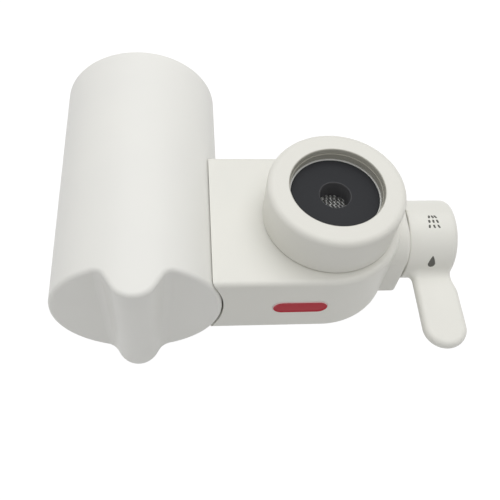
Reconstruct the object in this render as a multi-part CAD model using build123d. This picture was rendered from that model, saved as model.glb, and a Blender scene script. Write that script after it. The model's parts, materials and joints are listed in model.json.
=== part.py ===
from build123d import *
import os
from math import cos, radians, sin, sqrt, tan

# Faucet mount water filter, in millimetres.
# +Z runs up along the inlet, +X points to the lever and -Y to the front.
# The origin is on the inlet axis, at the lower end of the collar's inner wall.

# Fits and gaps
TURN_GAP = 0.3            # between faces that pass each other when something turns
SEAT_GAP = 0.1            # round a piece that sits in a pocket
SHAFT_GAP = 0.08          # radial, spool in its bore
SEAL_GAP = 0.05           # radial, rubber ring to the face that it wipes

# Body block
BODY_TOP_Z = -12.35
BODY_END_X = -1.3         # centre of the rounded right end
BODY_TOP_EDGE = 1.8
BODY_FOOT_EDGE = 1.0
WALL = 2.2
NECK_HALF_WIDTH = 14.0
NECK_LENGTH = 2.3         # how far the neck stands out of the round end
NECK_SHOULDER = 10.0      # corner radius of the neck's upper half
NECK_FOOT = 2.5
NECK_END_EDGE = 1.2

# Collar nut
COLLAR_WALL = 4.3
COLLAR_TOP_Z = 4.3
COLLAR_TOP_EDGE = 2.2
COLLAR_FOOT_EDGE = 0.5
COLLAR_SEAM = 0.25        # gap under the nut
BORE_RADIUS = 15.05       # inner wall that guides the tap spout
BORE_LENGTH = 2.2
MOUTH_LEDGE = 0.2         # step out from that wall to the flared mouth above it
MOUTH_STEP = 0.41         # the mouth's rim outside that wall
MOUTH_EDGE = 0.5

# Inlet boss, rubber packing and strainer
BOSS_RIM = 2.95           # how far the boss reaches out under the nut's inner flange
BOSS_TOP_Z = -0.3
BOSS_WALL = 2.4
BOSS_RIBS = 6
BOSS_RIB_THICKNESS = 1.8
BOSS_FLANGE = 2.4         # how far the flange under the roof stands out
BOSS_FLANGE_THICKNESS = 1.8
PACKING_INSET = 0.45      # the packing's edge inside the nut's wall
PACKING_TOP_Z = -0.35
PACKING_THICKNESS = 3.0
PACKING_HOLE = 5.1
SLEEVE_RADIUS = 7.6       # the packing's spigot below its disc
SLEEVE_LENGTH = 3.6
MESH_THICKNESS = 0.3
MESH_HOLE = 0.55
MESH_PITCH = 1.5
STRAINER_HEIGHT = 1.5
STRAINER_WALL = 1.4
INLET_HOLE = 5.0

# Valve: barrel, spool and rings
BARREL_RADIUS = 9.6
BARREL_BORE = 6.8
BARREL_END_ROOM = 0.8     # how far the barrel's left end lies beyond the screw posts
SPOOL_END = 2.2           # how far the spool stands out of the barrel's left end
SPOOL_BORE = 3.5
SPOOL_PORT = 3.0
BYPASS_DEPTH = 2.6
BYPASS_WIDTH = 6.4
BYPASS_LOW = -150         # degrees about the lever's axis, from the back
BYPASS_HIGH = 30
RING_SECTION = 0.75
RING_OFFSET = 8.0         # the left and middle rings, either side of the inlet
RING_INSET = 3.8          # the right ring, inside the body's end wall
RING_GROOVE = 1.8
CLIP_RADIUS = 7.9
CLIP_ROOT = 5.4
CLIP_THICKNESS = 0.8
CLIP_GAP_HALF_WIDTH = 3.6
OUTLET_BOSS_RADIUS = 6.15
OUTLET_BOSS_BELOW = 3.0   # reach of the outlet boss below the nozzle's top face
OUTLET_HOLE = 4.0

# Lever
HUB_RADIUS = 13.9
HUB_LENGTH = 17.55
HUB_END_EDGE = 2.4
HUB_SEAM_EDGE = 0.6
HUB_WALL = 2.3
HUB_CORE_INNER = 7.4
HUB_CORE_DEPTH = 11.0
DRIVE_RADIUS = 5.0
DRIVE_FLAT = 3.4          # distance of the drive's flat from its axis
DRIVE_LENGTH = 10.4       # reach of the drive into the hub
PADDLE_OFFSET = 10.4      # the paddle's middle from the hub's left end
PADDLE_HALF_WIDTH = 7.5
PADDLE_WAIST = 1.2        # how far the paddle's right side draws in at the hub
PADDLE_WAIST_START_Y = -22.0
PADDLE_WAIST_END_Y = -15.5
PADDLE_TIP_Y = -42.0
PADDLE_THICKNESS = 4.2
PADDLE_EDGE = 1.9
PADDLE_ROOT = 3.0         # concave radius where the paddle meets the hub
CAP_RADIUS = 5.6
CAP_THICKNESS = 1.0
CAP_SEAT_DEPTH = 3.4
SCREW_RADIUS = 1.5
SCREW_HEAD_RADIUS = 3.0
SCREW_HEAD_HEIGHT = 1.8
SCREW_LENGTH = 12.0

# Base, outlets and badge
COVER_THICKNESS = 2.4
COVER_RIM = 1.1           # width of the shell's rim round the cover
POST_RADIUS = 3.2
POST_INSET = 0.9          # screw post to the body's inner wall
POST_CLEAR = 0.25         # screw post to the widest flange beside it
COVER_SCREW_RADIUS = 1.2
COVER_SCREW_HEAD = 2.6
NOZZLE_RADIUS = 16.5
NOZZLE_WALL = 1.8
NOZZLE_FLANGE = 1.7       # how far the flange above the cover stands out
NOZZLE_TOP = 1.8          # that flange's thickness
NOZZLE_CLEAR = 0.6        # between the flange and the barrel above it
NOZZLE_LEDGE = 1.1
NOZZLE_HUB = 9.5
NOZZLE_HUB_DEPTH = 4.0
SPRAY_THICKNESS = 1.6
SPRAY_INSET = 0.8
SPRAY_HOLE = 0.55
SPRAY_RINGS = {3.4: 6, 6.8: 12, 10.4: 18}
SPOUT_RADIUS = 5.0
SPOUT_HOLE = 3.2
SPOUT_FLANGE = 6.4
SPOUT_BELOW = 6.5         # how far the spout stands below the body
BADGE_X = -10.5
BADGE_DROP = 0.7          # badge centre below the lever's axis
BADGE_LENGTH = 18.6
BADGE_HEIGHT = 6.8
BADGE_THICKNESS = 0.8
BADGE_PROUD = 0.25
BADGE_RIM = 0.7
BADGE_FIELD_DEPTH = 0.12

# Cradle and the channel that holds the cartridge's rail
CRADLE_GAP = 0.45
CRADLE_WALL = 2.4
RAIL_NECK_HALF = 2.5
RAIL_HEAD_HALF = 5.5
RAIL_NECK_HEIGHT = 2.1    # from the case's surface to the underside of the head
RAIL_HEAD_HEIGHT = 1.8
RAIL_HALF_ANGLE = 22.0
RAIL_STOP_ANGLE = 0.8
CHANNEL_WALL = 2.0
PORT_SPACING = 1.8        # between a port and the rail's channel
PORT_HOLE = 3.0
PORT_RING_RADIUS = 5.4
PORT_RING_HEIGHT = 1.5
MANIFOLD_MARGIN = 0.4     # the manifold beyond its ports
MANIFOLD_ROOM = 3.3       # between the manifold and the body's wall
MANIFOLD_DROP = 0.6       # how far the manifold's faces lie inside the barrel's radius
MANIFOLD_EDGE = 2.0
MANIFOLD_CHAMBER_DEPTH = 3.6
MANIFOLD_CROSS = 7.0      # the cross passage, from the manifold's right face
MANIFOLD_LENGTH = 18.7    # from that face to the case's near side
GASKET_THICKNESS = 1.0
GASKET_WIDTH = 1.3

# Cartridge
CASE_RADIUS = 28.0
CASE_PROUD = 0.6          # how far the case stands out of the body's front
CASE_BACK_Y = 64.4
CASE_WALL = 2.0
CASE_FRONT_WALL = 2.6
CASE_FRONT_EDGE = 1.6
CASE_BACK_EDGE = 0.4
RIDGE_MID_HEIGHT = 8.6    # how far the ridge stands out, halfway up
RIDGE_SLOPE = 3.6         # degrees: it stands out further at the top
RIDGE_LEAN = 1.4          # degrees that the closed cartridge stands past upright
RIDGE_FLANK = 60.0
RIDGE_CREST = 7.4
RIDGE_ROOT = 4.0
CAP_PLUG_LENGTH = 4.4
CAP_RING_SECTION = 0.8
END_PLATE_THICKNESS = 2.5
CARBON_ROOM = 1.4         # water space between the case's wall and the carbon
CARBON_WALL = 7.3
FLEECE_THICKNESS = 0.35
CAGE_WALL = 1.3
CAGE_FLANGE = 2.0
CAGE_COLUMNS = 8
CAGE_ROWS = 5
CAGE_SLOT_WIDTH = 4.0
CAGE_SLOT_LENGTH = 7.0
POTTING_CLEAR = 4.0       # between the filtered port and the potting disc
POTTING_THICKNESS = 9.0
FIBRE_ROOM = 0.6
FIBRE_END_ROOM = 3.3
FIBRE_BEND = 8.0

# Round the inlet, from the bore outwards
MOUTH_RADIUS = BORE_RADIUS + MOUTH_STEP
PACKING_RADIUS = BORE_RADIUS - PACKING_INSET
BOSS_RADIUS = BORE_RADIUS + BOSS_RIM
BOSS_FLANGE_RADIUS = BOSS_RADIUS + BOSS_FLANGE
COLLAR_RADIUS = BOSS_RADIUS + TURN_GAP + COLLAR_WALL
NOZZLE_FLANGE_RADIUS = NOZZLE_RADIUS + NOZZLE_FLANGE

# Front to back: rail channel, port, body wall
CHANNEL_END = RAIL_HEAD_HALF + TURN_GAP + CHANNEL_WALL
PORT_Y = CHANNEL_END + PORT_SPACING + PORT_RING_RADIUS
MANIFOLD_HALF_DEPTH = PORT_Y + PORT_RING_RADIUS + MANIFOLD_MARGIN
BODY_HALF_DEPTH = MANIFOLD_HALF_DEPTH + MANIFOLD_ROOM + WALL
CASE_FRONT_Y = -BODY_HALF_DEPTH - CASE_PROUD
POST_Y = BODY_HALF_DEPTH - WALL - POST_INSET - POST_RADIUS

# Heights
BODY_HEIGHT = 2 * (BARREL_RADIUS + NOZZLE_CLEAR + NOZZLE_TOP + COVER_THICKNESS)
AXIS_Z = BODY_TOP_Z - BODY_HEIGHT / 2
BODY_BOTTOM_Z = BODY_TOP_Z - BODY_HEIGHT
CEILING_Z = BODY_TOP_Z - WALL
COVER_TOP_Z = BODY_BOTTOM_Z + COVER_THICKNESS
REST_Z = AXIS_Z - CASE_RADIUS
SHOULDER_Z = PACKING_TOP_Z - PACKING_THICKNESS
SLEEVE_END_Z = SHOULDER_Z - SLEEVE_LENGTH
STRAINER_FLOOR_Z = SLEEVE_END_Z - STRAINER_HEIGHT
NOZZLE_TOP_Z = COVER_TOP_Z + NOZZLE_TOP

# Left to right: case, manifold, barrel, neck, lever
POST_REACH = max(BOSS_FLANGE_RADIUS, NOZZLE_FLANGE_RADIUS) + POST_CLEAR + POST_RADIUS
POST_X = -sqrt(max(POST_REACH ** 2 - POST_Y ** 2, POST_RADIUS ** 2))
BARREL_LEFT_X = POST_X - POST_RADIUS - BARREL_END_ROOM
SPOOL_LEFT_X = BARREL_LEFT_X - SPOOL_END
MANIFOLD_RIGHT_X = BARREL_LEFT_X - GASKET_THICKNESS
MANIFOLD_CROSS_X = MANIFOLD_RIGHT_X - MANIFOLD_CROSS
MANIFOLD_CHAMBER = BARREL_RADIUS - GASKET_WIDTH
MANIFOLD_HALF_HEIGHT = BARREL_RADIUS - MANIFOLD_DROP
SPOUT_X = MANIFOLD_CROSS_X
CASE_X = MANIFOLD_RIGHT_X - MANIFOLD_LENGTH - CASE_RADIUS
INNER_WALL_X = BODY_END_X + BODY_HALF_DEPTH - WALL
NECK_END_X = BODY_END_X + BODY_HALF_DEPTH + NECK_LENGTH
HUB_START_X = NECK_END_X + TURN_GAP
HUB_END_X = HUB_START_X + HUB_LENGTH
SPOOL_RIGHT_X = NECK_END_X - TURN_GAP
DRIVE_END_X = HUB_START_X + DRIVE_LENGTH
PADDLE_CENTRE_X = HUB_START_X + PADDLE_OFFSET
RING_STATIONS = {"left": -RING_OFFSET, "middle": RING_OFFSET, "right": INNER_WALL_X - RING_INSET}

# Cradle and cartridge radii
CRADLE_RADIUS = CASE_RADIUS + CRADLE_GAP
CRADLE_BACK_RADIUS = CRADLE_RADIUS + CRADLE_WALL
HEAD_UNDERSIDE = CASE_RADIUS + RAIL_NECK_HEIGHT
HEAD_TOP = HEAD_UNDERSIDE + RAIL_HEAD_HEIGHT
CHANNEL_BACK = HEAD_TOP + TURN_GAP + CHANNEL_WALL
PORT_SEAT = CASE_RADIUS + SEAL_GAP + PORT_RING_HEIGHT
CASE_INNER = CASE_RADIUS - CASE_WALL
CARBON_OUTER = CASE_INNER - CARBON_ROOM
CARBON_INNER = CARBON_OUTER - CARBON_WALL
CAGE_OUTER = CARBON_INNER - SEAT_GAP
FIBRE_RADIUS = CAGE_OUTER - CAGE_WALL - FIBRE_ROOM

# Stations along the cartridge
POTTING_FRONT_Y = -PORT_Y + PORT_HOLE + POTTING_CLEAR
POTTING_BACK_Y = POTTING_FRONT_Y + POTTING_THICKNESS
CARBON_FRONT_Y = POTTING_BACK_Y + CAGE_FLANGE
CARBON_BACK_Y = CASE_BACK_Y - CAP_PLUG_LENGTH - END_PLATE_THICKNESS
FIBRE_BACK_Y = CARBON_BACK_Y - WALL - FIBRE_END_ROOM

# Rings, and the two axes that pieces turn on
SPOOL_RADIUS = BARREL_BORE - SHAFT_GAP
RING_CENTRE = BARREL_BORE - SEAL_GAP - RING_SECTION
CASE_AT = (CASE_X, AXIS_Z)
LEVER_AT = (0, AXIS_Z)
FAR = 200.0               # longer than anything here, for cutting tools


def placed(along, start, at):
    """Location whose local +Z runs along a row axis, from a station on it."""
    first, second = at
    if along == "X":
        return Pos(start, first, second) * Rot(0, 90, 0)
    if along == "Y":
        return Pos(first, start, second) * Rot(-90, 0, 0)
    return Pos(first, second, start)


def rod(radius, start, end, along="Z", at=(0, 0)):
    """Solid cylinder between two stations; at is its place on the other two axes."""
    bar = Cylinder(radius, end - start, align=(Align.CENTER, Align.CENTER, Align.MIN))
    return placed(along, start, at) * bar


def tube(outer, inner, start, end, along="Z", at=(0, 0)):
    """Hollow cylinder with open ends."""
    return rod(outer, start, end, along, at) - rod(inner, start, end, along, at)


def ring(centre_radius, section_radius, station, along="Z", at=(0, 0)):
    """Rubber ring of round section, its plane square to a row axis."""
    return placed(along, station, at) * Torus(centre_radius, section_radius)


def block(x0, x1, y0, y1, z0, z1):
    """Box between two corners."""
    return Pos((x0 + x1) / 2, (y0 + y1) / 2, (z0 + z1) / 2) * Box(x1 - x0, y1 - y0, z1 - z0)


def sector(low, high, reach, y0, y1):
    """Wedge about the cartridge's axis between two angles above +X, in degrees."""
    corners = [(0, 0)]
    for angle in (low, (low + high) / 2, high):
        corners.append((reach * cos(radians(angle)), reach * sin(radians(angle))))
    face = make_face(Polyline(*corners, close=True))
    wedge = extrude(Plane.XZ * face, amount=y1 - y0)
    return Pos(CASE_X, y1, AXIS_Z) * wedge


def body_plan(inset=0.0):
    """Plan of the body block: straight sides and a round right end."""
    half = BODY_HALF_DEPTH - inset
    length = BODY_END_X - CASE_X
    straight = Pos(BODY_END_X - length / 2, 0) * Rectangle(length, 2 * half)
    return straight + Pos(BODY_END_X, 0) * Circle(half)


def body_slab(inset, z0, z1):
    """The body's plan, inset and given a height."""
    return extrude(Plane.XY.offset(z0) * body_plan(inset), amount=z1 - z0)


def neck_bar(x0, x1):
    """The neck: square below, round-shouldered above, along X."""
    section = Rectangle(2 * NECK_HALF_WIDTH, BODY_HEIGHT)
    section = fillet(section.vertices().group_by(Axis.Y)[-1], NECK_SHOULDER)
    section = fillet(section.vertices().group_by(Axis.Y)[0], NECK_FOOT)
    return Pos(x0, 0, AXIS_Z) * extrude(Plane.YZ * section, amount=x1 - x0)


def rail_channel():
    """Space in the cradle that the cartridge's rail sweeps, open at the bottom."""
    low = -90
    high = RAIL_HALF_ANGLE + RAIL_STOP_ANGLE
    neck = RAIL_NECK_HALF + TURN_GAP
    head = RAIL_HEAD_HALF + TURN_GAP
    lip_top = HEAD_UNDERSIDE - TURN_GAP
    slot = tube(lip_top, CASE_RADIUS, -neck, neck, "Y", CASE_AT)
    pocket = tube(HEAD_TOP + TURN_GAP, lip_top, -head, head, "Y", CASE_AT)
    return (slot + pocket) & sector(low, high, FAR / 4, -head, head)


def badge_slab(inset, y0, y1):
    """Pill-shaped slab on the body's front face."""
    pill = SlotOverall(BADGE_LENGTH - 2 * inset, BADGE_HEIGHT - 2 * inset)
    slab = extrude(Plane.XZ * pill, amount=y1 - y0)
    return Pos(BADGE_X, y1, AXIS_Z - BADGE_DROP) * slab


def main_housing():
    """Moulded shell of the body: roof, walls, cradle, rail channel, neck and screw posts."""
    shell = body_slab(0, BODY_BOTTOM_Z, BODY_TOP_Z)
    shell = fillet(shell.faces().sort_by(Axis.Z)[-1].edges(), BODY_TOP_EDGE)
    shell = fillet(shell.faces().sort_by(Axis.Z)[0].edges(), BODY_FOOT_EDGE)
    neck = neck_bar(0, NECK_END_X)
    shell += fillet(neck.faces().sort_by(Axis.X)[-1].edges(), NECK_END_EDGE)
    shell -= rod(CRADLE_RADIUS, -FAR, FAR, "Y", CASE_AT)

    hollow = body_slab(WALL, BODY_BOTTOM_Z, CEILING_Z)
    hollow -= rod(CRADLE_BACK_RADIUS, -FAR, FAR, "Y", CASE_AT)
    hollow -= rod(CHANNEL_BACK, -CHANNEL_END, CHANNEL_END, "Y", CASE_AT)
    for side in (-1, 1):
        hollow -= rod(POST_RADIUS, COVER_TOP_Z, CEILING_Z, at=(POST_X, side * POST_Y))
    shell -= hollow
    for side in (-1, 1):
        shell -= rod(COVER_SCREW_RADIUS, COVER_TOP_Z, CEILING_Z - WALL, at=(POST_X, side * POST_Y))

    rebate = body_slab(COVER_RIM, BODY_BOTTOM_Z, COVER_TOP_Z)
    rebate -= rod(CRADLE_BACK_RADIUS, -FAR, FAR, "Y", CASE_AT)
    rebate -= rod(CHANNEL_BACK, -CHANNEL_END, CHANNEL_END, "Y", CASE_AT)
    shell -= rebate
    shell -= rail_channel()
    shell -= rod(BOSS_RADIUS + SEAT_GAP, CEILING_Z - WALL, BODY_TOP_Z + WALL)
    shell -= rod(BARREL_BORE, 0, NECK_END_X + WALL, "X", LEVER_AT)
    for side in (-1, 1):
        shell -= rod(PORT_RING_RADIUS + SEAT_GAP, CASE_X, MANIFOLD_CROSS_X, "X",
                     (side * PORT_Y, AXIS_Z))
    pocket_depth = BADGE_THICKNESS - BADGE_PROUD
    shell -= badge_slab(-SEAT_GAP, -BODY_HALF_DEPTH - WALL, -BODY_HALF_DEPTH + pocket_depth)
    return shell


def base_cover():
    """Plate in the shell's foot, with openings for the nozzle, the spout and the screws."""
    plate = body_slab(COVER_RIM + SEAT_GAP, BODY_BOTTOM_Z, COVER_TOP_Z)
    plate -= rod(CRADLE_BACK_RADIUS + SEAT_GAP, -FAR, FAR, "Y", CASE_AT)
    channel_end = CHANNEL_END + SEAT_GAP
    plate -= rod(CHANNEL_BACK + SEAT_GAP, -channel_end, channel_end, "Y", CASE_AT)
    plate -= rod(NOZZLE_RADIUS + SEAT_GAP, -FAR, FAR)
    plate -= rod(SPOUT_RADIUS + SEAT_GAP, -FAR, FAR, at=(SPOUT_X, -PORT_Y))
    head_top = BODY_BOTTOM_Z + COVER_THICKNESS / 2
    for side in (-1, 1):
        at = (POST_X, side * POST_Y)
        plate -= rod(COVER_SCREW_RADIUS + SEAT_GAP, -FAR, FAR, at=at)
        plate -= rod(COVER_SCREW_HEAD + SEAT_GAP, BODY_BOTTOM_Z, head_top, at=at)
    return plate


def housing_screws():
    """The base cover's two screws, as separate solids in one group."""
    screws = []
    head_top = BODY_BOTTOM_Z + COVER_THICKNESS / 2
    for side in (-1, 1):
        at = (POST_X, side * POST_Y)
        head = rod(COVER_SCREW_HEAD, BODY_BOTTOM_Z + SEAT_GAP, head_top, at=at)
        shank = rod(COVER_SCREW_RADIUS, head_top, COVER_TOP_Z + 4 * COVER_THICKNESS, at=at)
        cross = block(-COVER_SCREW_HEAD, COVER_SCREW_HEAD, -0.3, 0.3, 0, COVER_THICKNESS / 4)
        recess = cross + Rot(0, 0, 90) * cross
        short = recess & rod(COVER_SCREW_HEAD * 0.7, 0, COVER_THICKNESS / 4)
        screws.append(head + shank - Pos(POST_X, side * POST_Y, BODY_BOTTOM_Z + SEAT_GAP) * short)
    return Compound(children=screws)


def collar_nut():
    """Round nut over the inlet boss: soft top edge, clamping flange and flared mouth."""
    foot = BODY_TOP_Z + COLLAR_SEAM
    nut = rod(COLLAR_RADIUS, foot, COLLAR_TOP_Z)
    nut = fillet(nut.edges().group_by(Axis.Z)[-1], COLLAR_TOP_EDGE)
    nut = fillet(nut.edges().group_by(Axis.Z)[0], COLLAR_FOOT_EDGE)
    nut -= rod(BOSS_RADIUS + TURN_GAP, foot, 0)
    nut -= rod(BORE_RADIUS, 0, COLLAR_TOP_Z)
    flare = Cone(BORE_RADIUS + MOUTH_LEDGE, MOUTH_RADIUS, COLLAR_TOP_Z - BORE_LENGTH)
    nut -= Pos(0, 0, (BORE_LENGTH + COLLAR_TOP_Z) / 2) * flare
    rim = nut.edges().filter_by(GeomType.CIRCLE).group_by(Axis.Z)[-1].sort_by(SortBy.RADIUS)[0]
    return fillet(rim, MOUTH_EDGE)


def inlet_gasket():
    """Rubber packing: a disc with a spigot below it, and one hole through both."""
    packing = rod(PACKING_RADIUS, SHOULDER_Z, PACKING_TOP_Z)
    packing += rod(SLEEVE_RADIUS, SLEEVE_END_Z, SHOULDER_Z)
    packing -= rod(PACKING_HOLE, SLEEVE_END_Z, PACKING_TOP_Z)
    rims = packing.edges().filter_by(GeomType.CIRCLE).group_by(Axis.Z)[-1]
    return fillet(rims, 0.25)


def strainer_mesh():
    """Fine disc of round openings in rows, under the packing's hole."""
    radius = SLEEVE_RADIUS - STRAINER_WALL / 2
    disc = rod(radius, SLEEVE_END_Z - MESH_THICKNESS, SLEEVE_END_Z)
    row_step = MESH_PITCH * sqrt(3) / 2
    rows = int(PACKING_HOLE / row_step)
    spots = []
    for row in range(-rows, rows + 1):
        shift = MESH_PITCH / 2 * (row % 2)
        columns = int(PACKING_HOLE / MESH_PITCH) + 1
        for column in range(-columns, columns + 1):
            x = column * MESH_PITCH + shift
            y = row * row_step
            if sqrt(x * x + y * y) < PACKING_HOLE - MESH_HOLE:
                spots.append((x, y))
    holes = Sketch() + [Pos(x, y) * Circle(MESH_HOLE) for x, y in spots]
    bottom_z = SLEEVE_END_Z - MESH_THICKNESS
    return disc - extrude(Plane.XY.offset(bottom_z) * holes, amount=MESH_THICKNESS)


def strainer_ring():
    """Stepped ring that carries the wire disc."""
    outer = rod(SLEEVE_RADIUS, STRAINER_FLOOR_Z, SLEEVE_END_Z)
    seat = rod(SLEEVE_RADIUS - STRAINER_WALL / 2, SLEEVE_END_Z - MESH_THICKNESS, SLEEVE_END_Z)
    return outer - seat - rod(SLEEVE_RADIUS - STRAINER_WALL, STRAINER_FLOOR_Z, SLEEVE_END_Z)


def valve_body():
    """Inlet boss with ribs and flange, cross barrel and outlet boss, as one moulding."""
    shelf_z = SHOULDER_Z - BOSS_WALL
    pocket = SLEEVE_RADIUS + SEAT_GAP
    chimney = rod(BOSS_RADIUS, CEILING_Z, BOSS_TOP_Z)
    chimney += rod(BOSS_FLANGE_RADIUS, CEILING_Z - BOSS_FLANGE_THICKNESS, CEILING_Z)
    underside = CEILING_Z - BOSS_FLANGE_THICKNESS
    chimney -= rod(BOSS_RADIUS - BOSS_WALL, underside, shelf_z)
    chimney += rod(pocket + BOSS_WALL, AXIS_Z, shelf_z)
    inner_space = rod(BOSS_RADIUS - BOSS_WALL / 2, underside, shelf_z)
    for index in range(BOSS_RIBS):
        half = BOSS_RIB_THICKNESS / 2
        rib = block(0, BOSS_RADIUS, -half, half, underside, shelf_z)
        chimney += Rot(0, 0, 360 / BOSS_RIBS * (index + 0.5)) * rib & inner_space

    barrel = rod(BARREL_RADIUS, BARREL_LEFT_X, INNER_WALL_X, "X", LEVER_AT)
    body = chimney + (barrel & body_slab(WALL, BODY_BOTTOM_Z, CEILING_Z))
    outlet_end = NOZZLE_TOP_Z - OUTLET_BOSS_BELOW
    body += rod(OUTLET_BOSS_RADIUS, outlet_end, AXIS_Z)
    body -= rod(PACKING_RADIUS + SEAT_GAP / 2, SHOULDER_Z, BOSS_TOP_Z)
    body -= rod(pocket, STRAINER_FLOOR_Z, SHOULDER_Z)
    body -= rod(INLET_HOLE, AXIS_Z, STRAINER_FLOOR_Z)
    body -= rod(OUTLET_HOLE, outlet_end, AXIS_Z)
    body -= rod(BARREL_BORE, BARREL_LEFT_X, INNER_WALL_X, "X", LEVER_AT)
    return body


def valve_spool():
    """Turning plug: end bore and top port for filtering, side channel for tap water, D drive."""
    spool = rod(SPOOL_RADIUS, SPOOL_LEFT_X, SPOOL_RIGHT_X, "X", LEVER_AT)
    spool += rod(DRIVE_RADIUS, SPOOL_RIGHT_X, DRIVE_END_X, "X", LEVER_AT)
    spool -= block(NECK_END_X, DRIVE_END_X, -FAR, FAR, AXIS_Z + DRIVE_FLAT, FAR)
    for station in RING_STATIONS.values():
        spool -= tube(SPOOL_RADIUS + WALL, RING_CENTRE - RING_SECTION,
                      station - RING_GROOVE / 2, station + RING_GROOVE / 2, "X", LEVER_AT)
    spool -= tube(SPOOL_RADIUS + WALL, CLIP_ROOT, BARREL_LEFT_X - SEAT_GAP - CLIP_THICKNESS,
                  BARREL_LEFT_X - SEAT_GAP, "X", LEVER_AT)
    spool -= rod(SPOOL_BORE, SPOOL_LEFT_X, SPOOL_PORT, "X", LEVER_AT)
    spool -= rod(SPOOL_PORT, AXIS_Z, AXIS_Z + FAR)
    half = BYPASS_WIDTH / 2
    channel = tube(SPOOL_RADIUS + WALL, SPOOL_RADIUS - BYPASS_DEPTH, -half, half, "X")
    corners = [(0, 0)]
    steps = 4
    for step in range(steps + 1):
        angle = radians(BYPASS_LOW + (BYPASS_HIGH - BYPASS_LOW) * step / steps)
        corners.append((FAR / 4 * cos(angle), FAR / 4 * sin(angle)))
    reach = make_face(Polyline(*corners, close=True))
    channel = channel & Pos(-half, 0, 0) * extrude(Plane.YZ * reach, amount=2 * half)
    spool -= Pos(0, 0, AXIS_Z) * channel
    screw_start = DRIVE_END_X - SCREW_LENGTH
    return spool - rod(SCREW_RADIUS, screw_start, DRIVE_END_X, "X", LEVER_AT)


def retaining_clip():
    """Open ring in the spool's end groove."""
    right = BARREL_LEFT_X - SEAT_GAP
    clip = tube(CLIP_RADIUS, CLIP_ROOT, right - CLIP_THICKNESS, right, "X", LEVER_AT)
    opening = block(right - WALL, right + WALL, 0, FAR, -CLIP_GAP_HALF_WIDTH, CLIP_GAP_HALF_WIDTH)
    return clip - Pos(0, 0, AXIS_Z) * opening


def paddle_bar():
    """The paddle before it joins the hub: round tip, straight left side, waist on the right."""
    left = PADDLE_CENTRE_X - PADDLE_HALF_WIDTH
    right = PADDLE_CENTRE_X + PADDLE_HALF_WIDTH
    waist = right - PADDLE_WAIST
    tip_y = PADDLE_TIP_Y + PADDLE_HALF_WIDTH
    outline = Line((left, 0), (left, tip_y))
    outline += ThreePointArc((left, tip_y), (PADDLE_CENTRE_X, PADDLE_TIP_Y), (right, tip_y))
    outline += Line((right, tip_y), (right, PADDLE_WAIST_START_Y))
    outline += Spline((right, PADDLE_WAIST_START_Y), (waist, PADDLE_WAIST_END_Y),
                      tangents=((0, 1), (0, 1)))
    outline += Line((waist, PADDLE_WAIST_END_Y), (waist, 0))
    outline += Line((waist, 0), (left, 0))
    bottom_z = AXIS_Z - PADDLE_THICKNESS
    bar = extrude(Plane.XY.offset(bottom_z) * make_face(outline), amount=PADDLE_THICKNESS)
    rims = bar.faces().sort_by(Axis.Z)[0].edges() + bar.faces().sort_by(Axis.Z)[-1].edges()
    return fillet([edge for edge in rims if edge.center().Y < -PADDLE_EDGE / 4], PADDLE_EDGE)


def lever():
    """Hub and paddle as one moulding, with the drive socket and the screw's seat."""
    hub = rod(HUB_RADIUS, HUB_START_X, HUB_END_X, "X", LEVER_AT)
    hub = fillet(hub.edges().group_by(Axis.X)[-1], HUB_END_EDGE)
    hub = fillet(hub.edges().filter_by(GeomType.CIRCLE).group_by(Axis.X)[0], HUB_SEAM_EDGE)
    whole = hub + paddle_bar()
    joint_line = []
    for edge in whole.edges():
        middle = edge.center()
        from_axis = sqrt(middle.Y ** 2 + (middle.Z - AXIS_Z) ** 2)
        on_hub = abs(from_axis - HUB_RADIUS) < PADDLE_THICKNESS / 10
        between = HUB_START_X + HUB_SEAM_EDGE < middle.X < HUB_END_X - HUB_SEAM_EDGE
        if on_hub and between and middle.Y < -HUB_RADIUS / 2 and edge.length < 2 * PADDLE_HALF_WIDTH:
            joint_line.append(edge)
    whole = fillet(joint_line, PADDLE_ROOT)
    core_end = HUB_START_X + HUB_CORE_DEPTH
    whole -= tube(HUB_RADIUS - HUB_WALL, HUB_CORE_INNER, HUB_START_X, core_end, "X", LEVER_AT)
    socket = rod(DRIVE_RADIUS + SEAL_GAP, HUB_START_X, DRIVE_END_X + SEAL_GAP, "X", LEVER_AT)
    socket -= block(HUB_START_X, FAR, -FAR, FAR, AXIS_Z + DRIVE_FLAT + SEAL_GAP, FAR)
    whole -= socket
    whole -= rod(CAP_RADIUS + SEAL_GAP, HUB_END_X - CAP_SEAT_DEPTH, HUB_END_X, "X", LEVER_AT)
    return whole - rod(SCREW_RADIUS + SEAT_GAP, DRIVE_END_X, HUB_END_X, "X", LEVER_AT)


def lever_screw():
    """Screw through the hub into the spool."""
    seat = HUB_END_X - CAP_SEAT_DEPTH
    screw = rod(SCREW_RADIUS, seat - SCREW_LENGTH, seat, "X", LEVER_AT)
    screw += rod(SCREW_HEAD_RADIUS, seat, seat + SCREW_HEAD_HEIGHT, "X", LEVER_AT)
    slot = block(seat + SCREW_HEAD_HEIGHT / 2, FAR, -0.4, 0.4, AXIS_Z - FAR, AXIS_Z + FAR)
    return screw - slot


def lever_cap():
    """Round cap that closes the screw's recess, flush with the hub's end."""
    inner = HUB_END_X - CAP_THICKNESS
    cap = rod(CAP_RADIUS, inner, HUB_END_X, "X", LEVER_AT)
    cap = fillet(cap.edges().group_by(Axis.X)[-1], 0.3)
    skirt_start = HUB_END_X - CAP_SEAT_DEPTH
    return cap + tube(CAP_RADIUS, CAP_RADIUS - CAP_THICKNESS, skirt_start, inner, "X", LEVER_AT)


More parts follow.
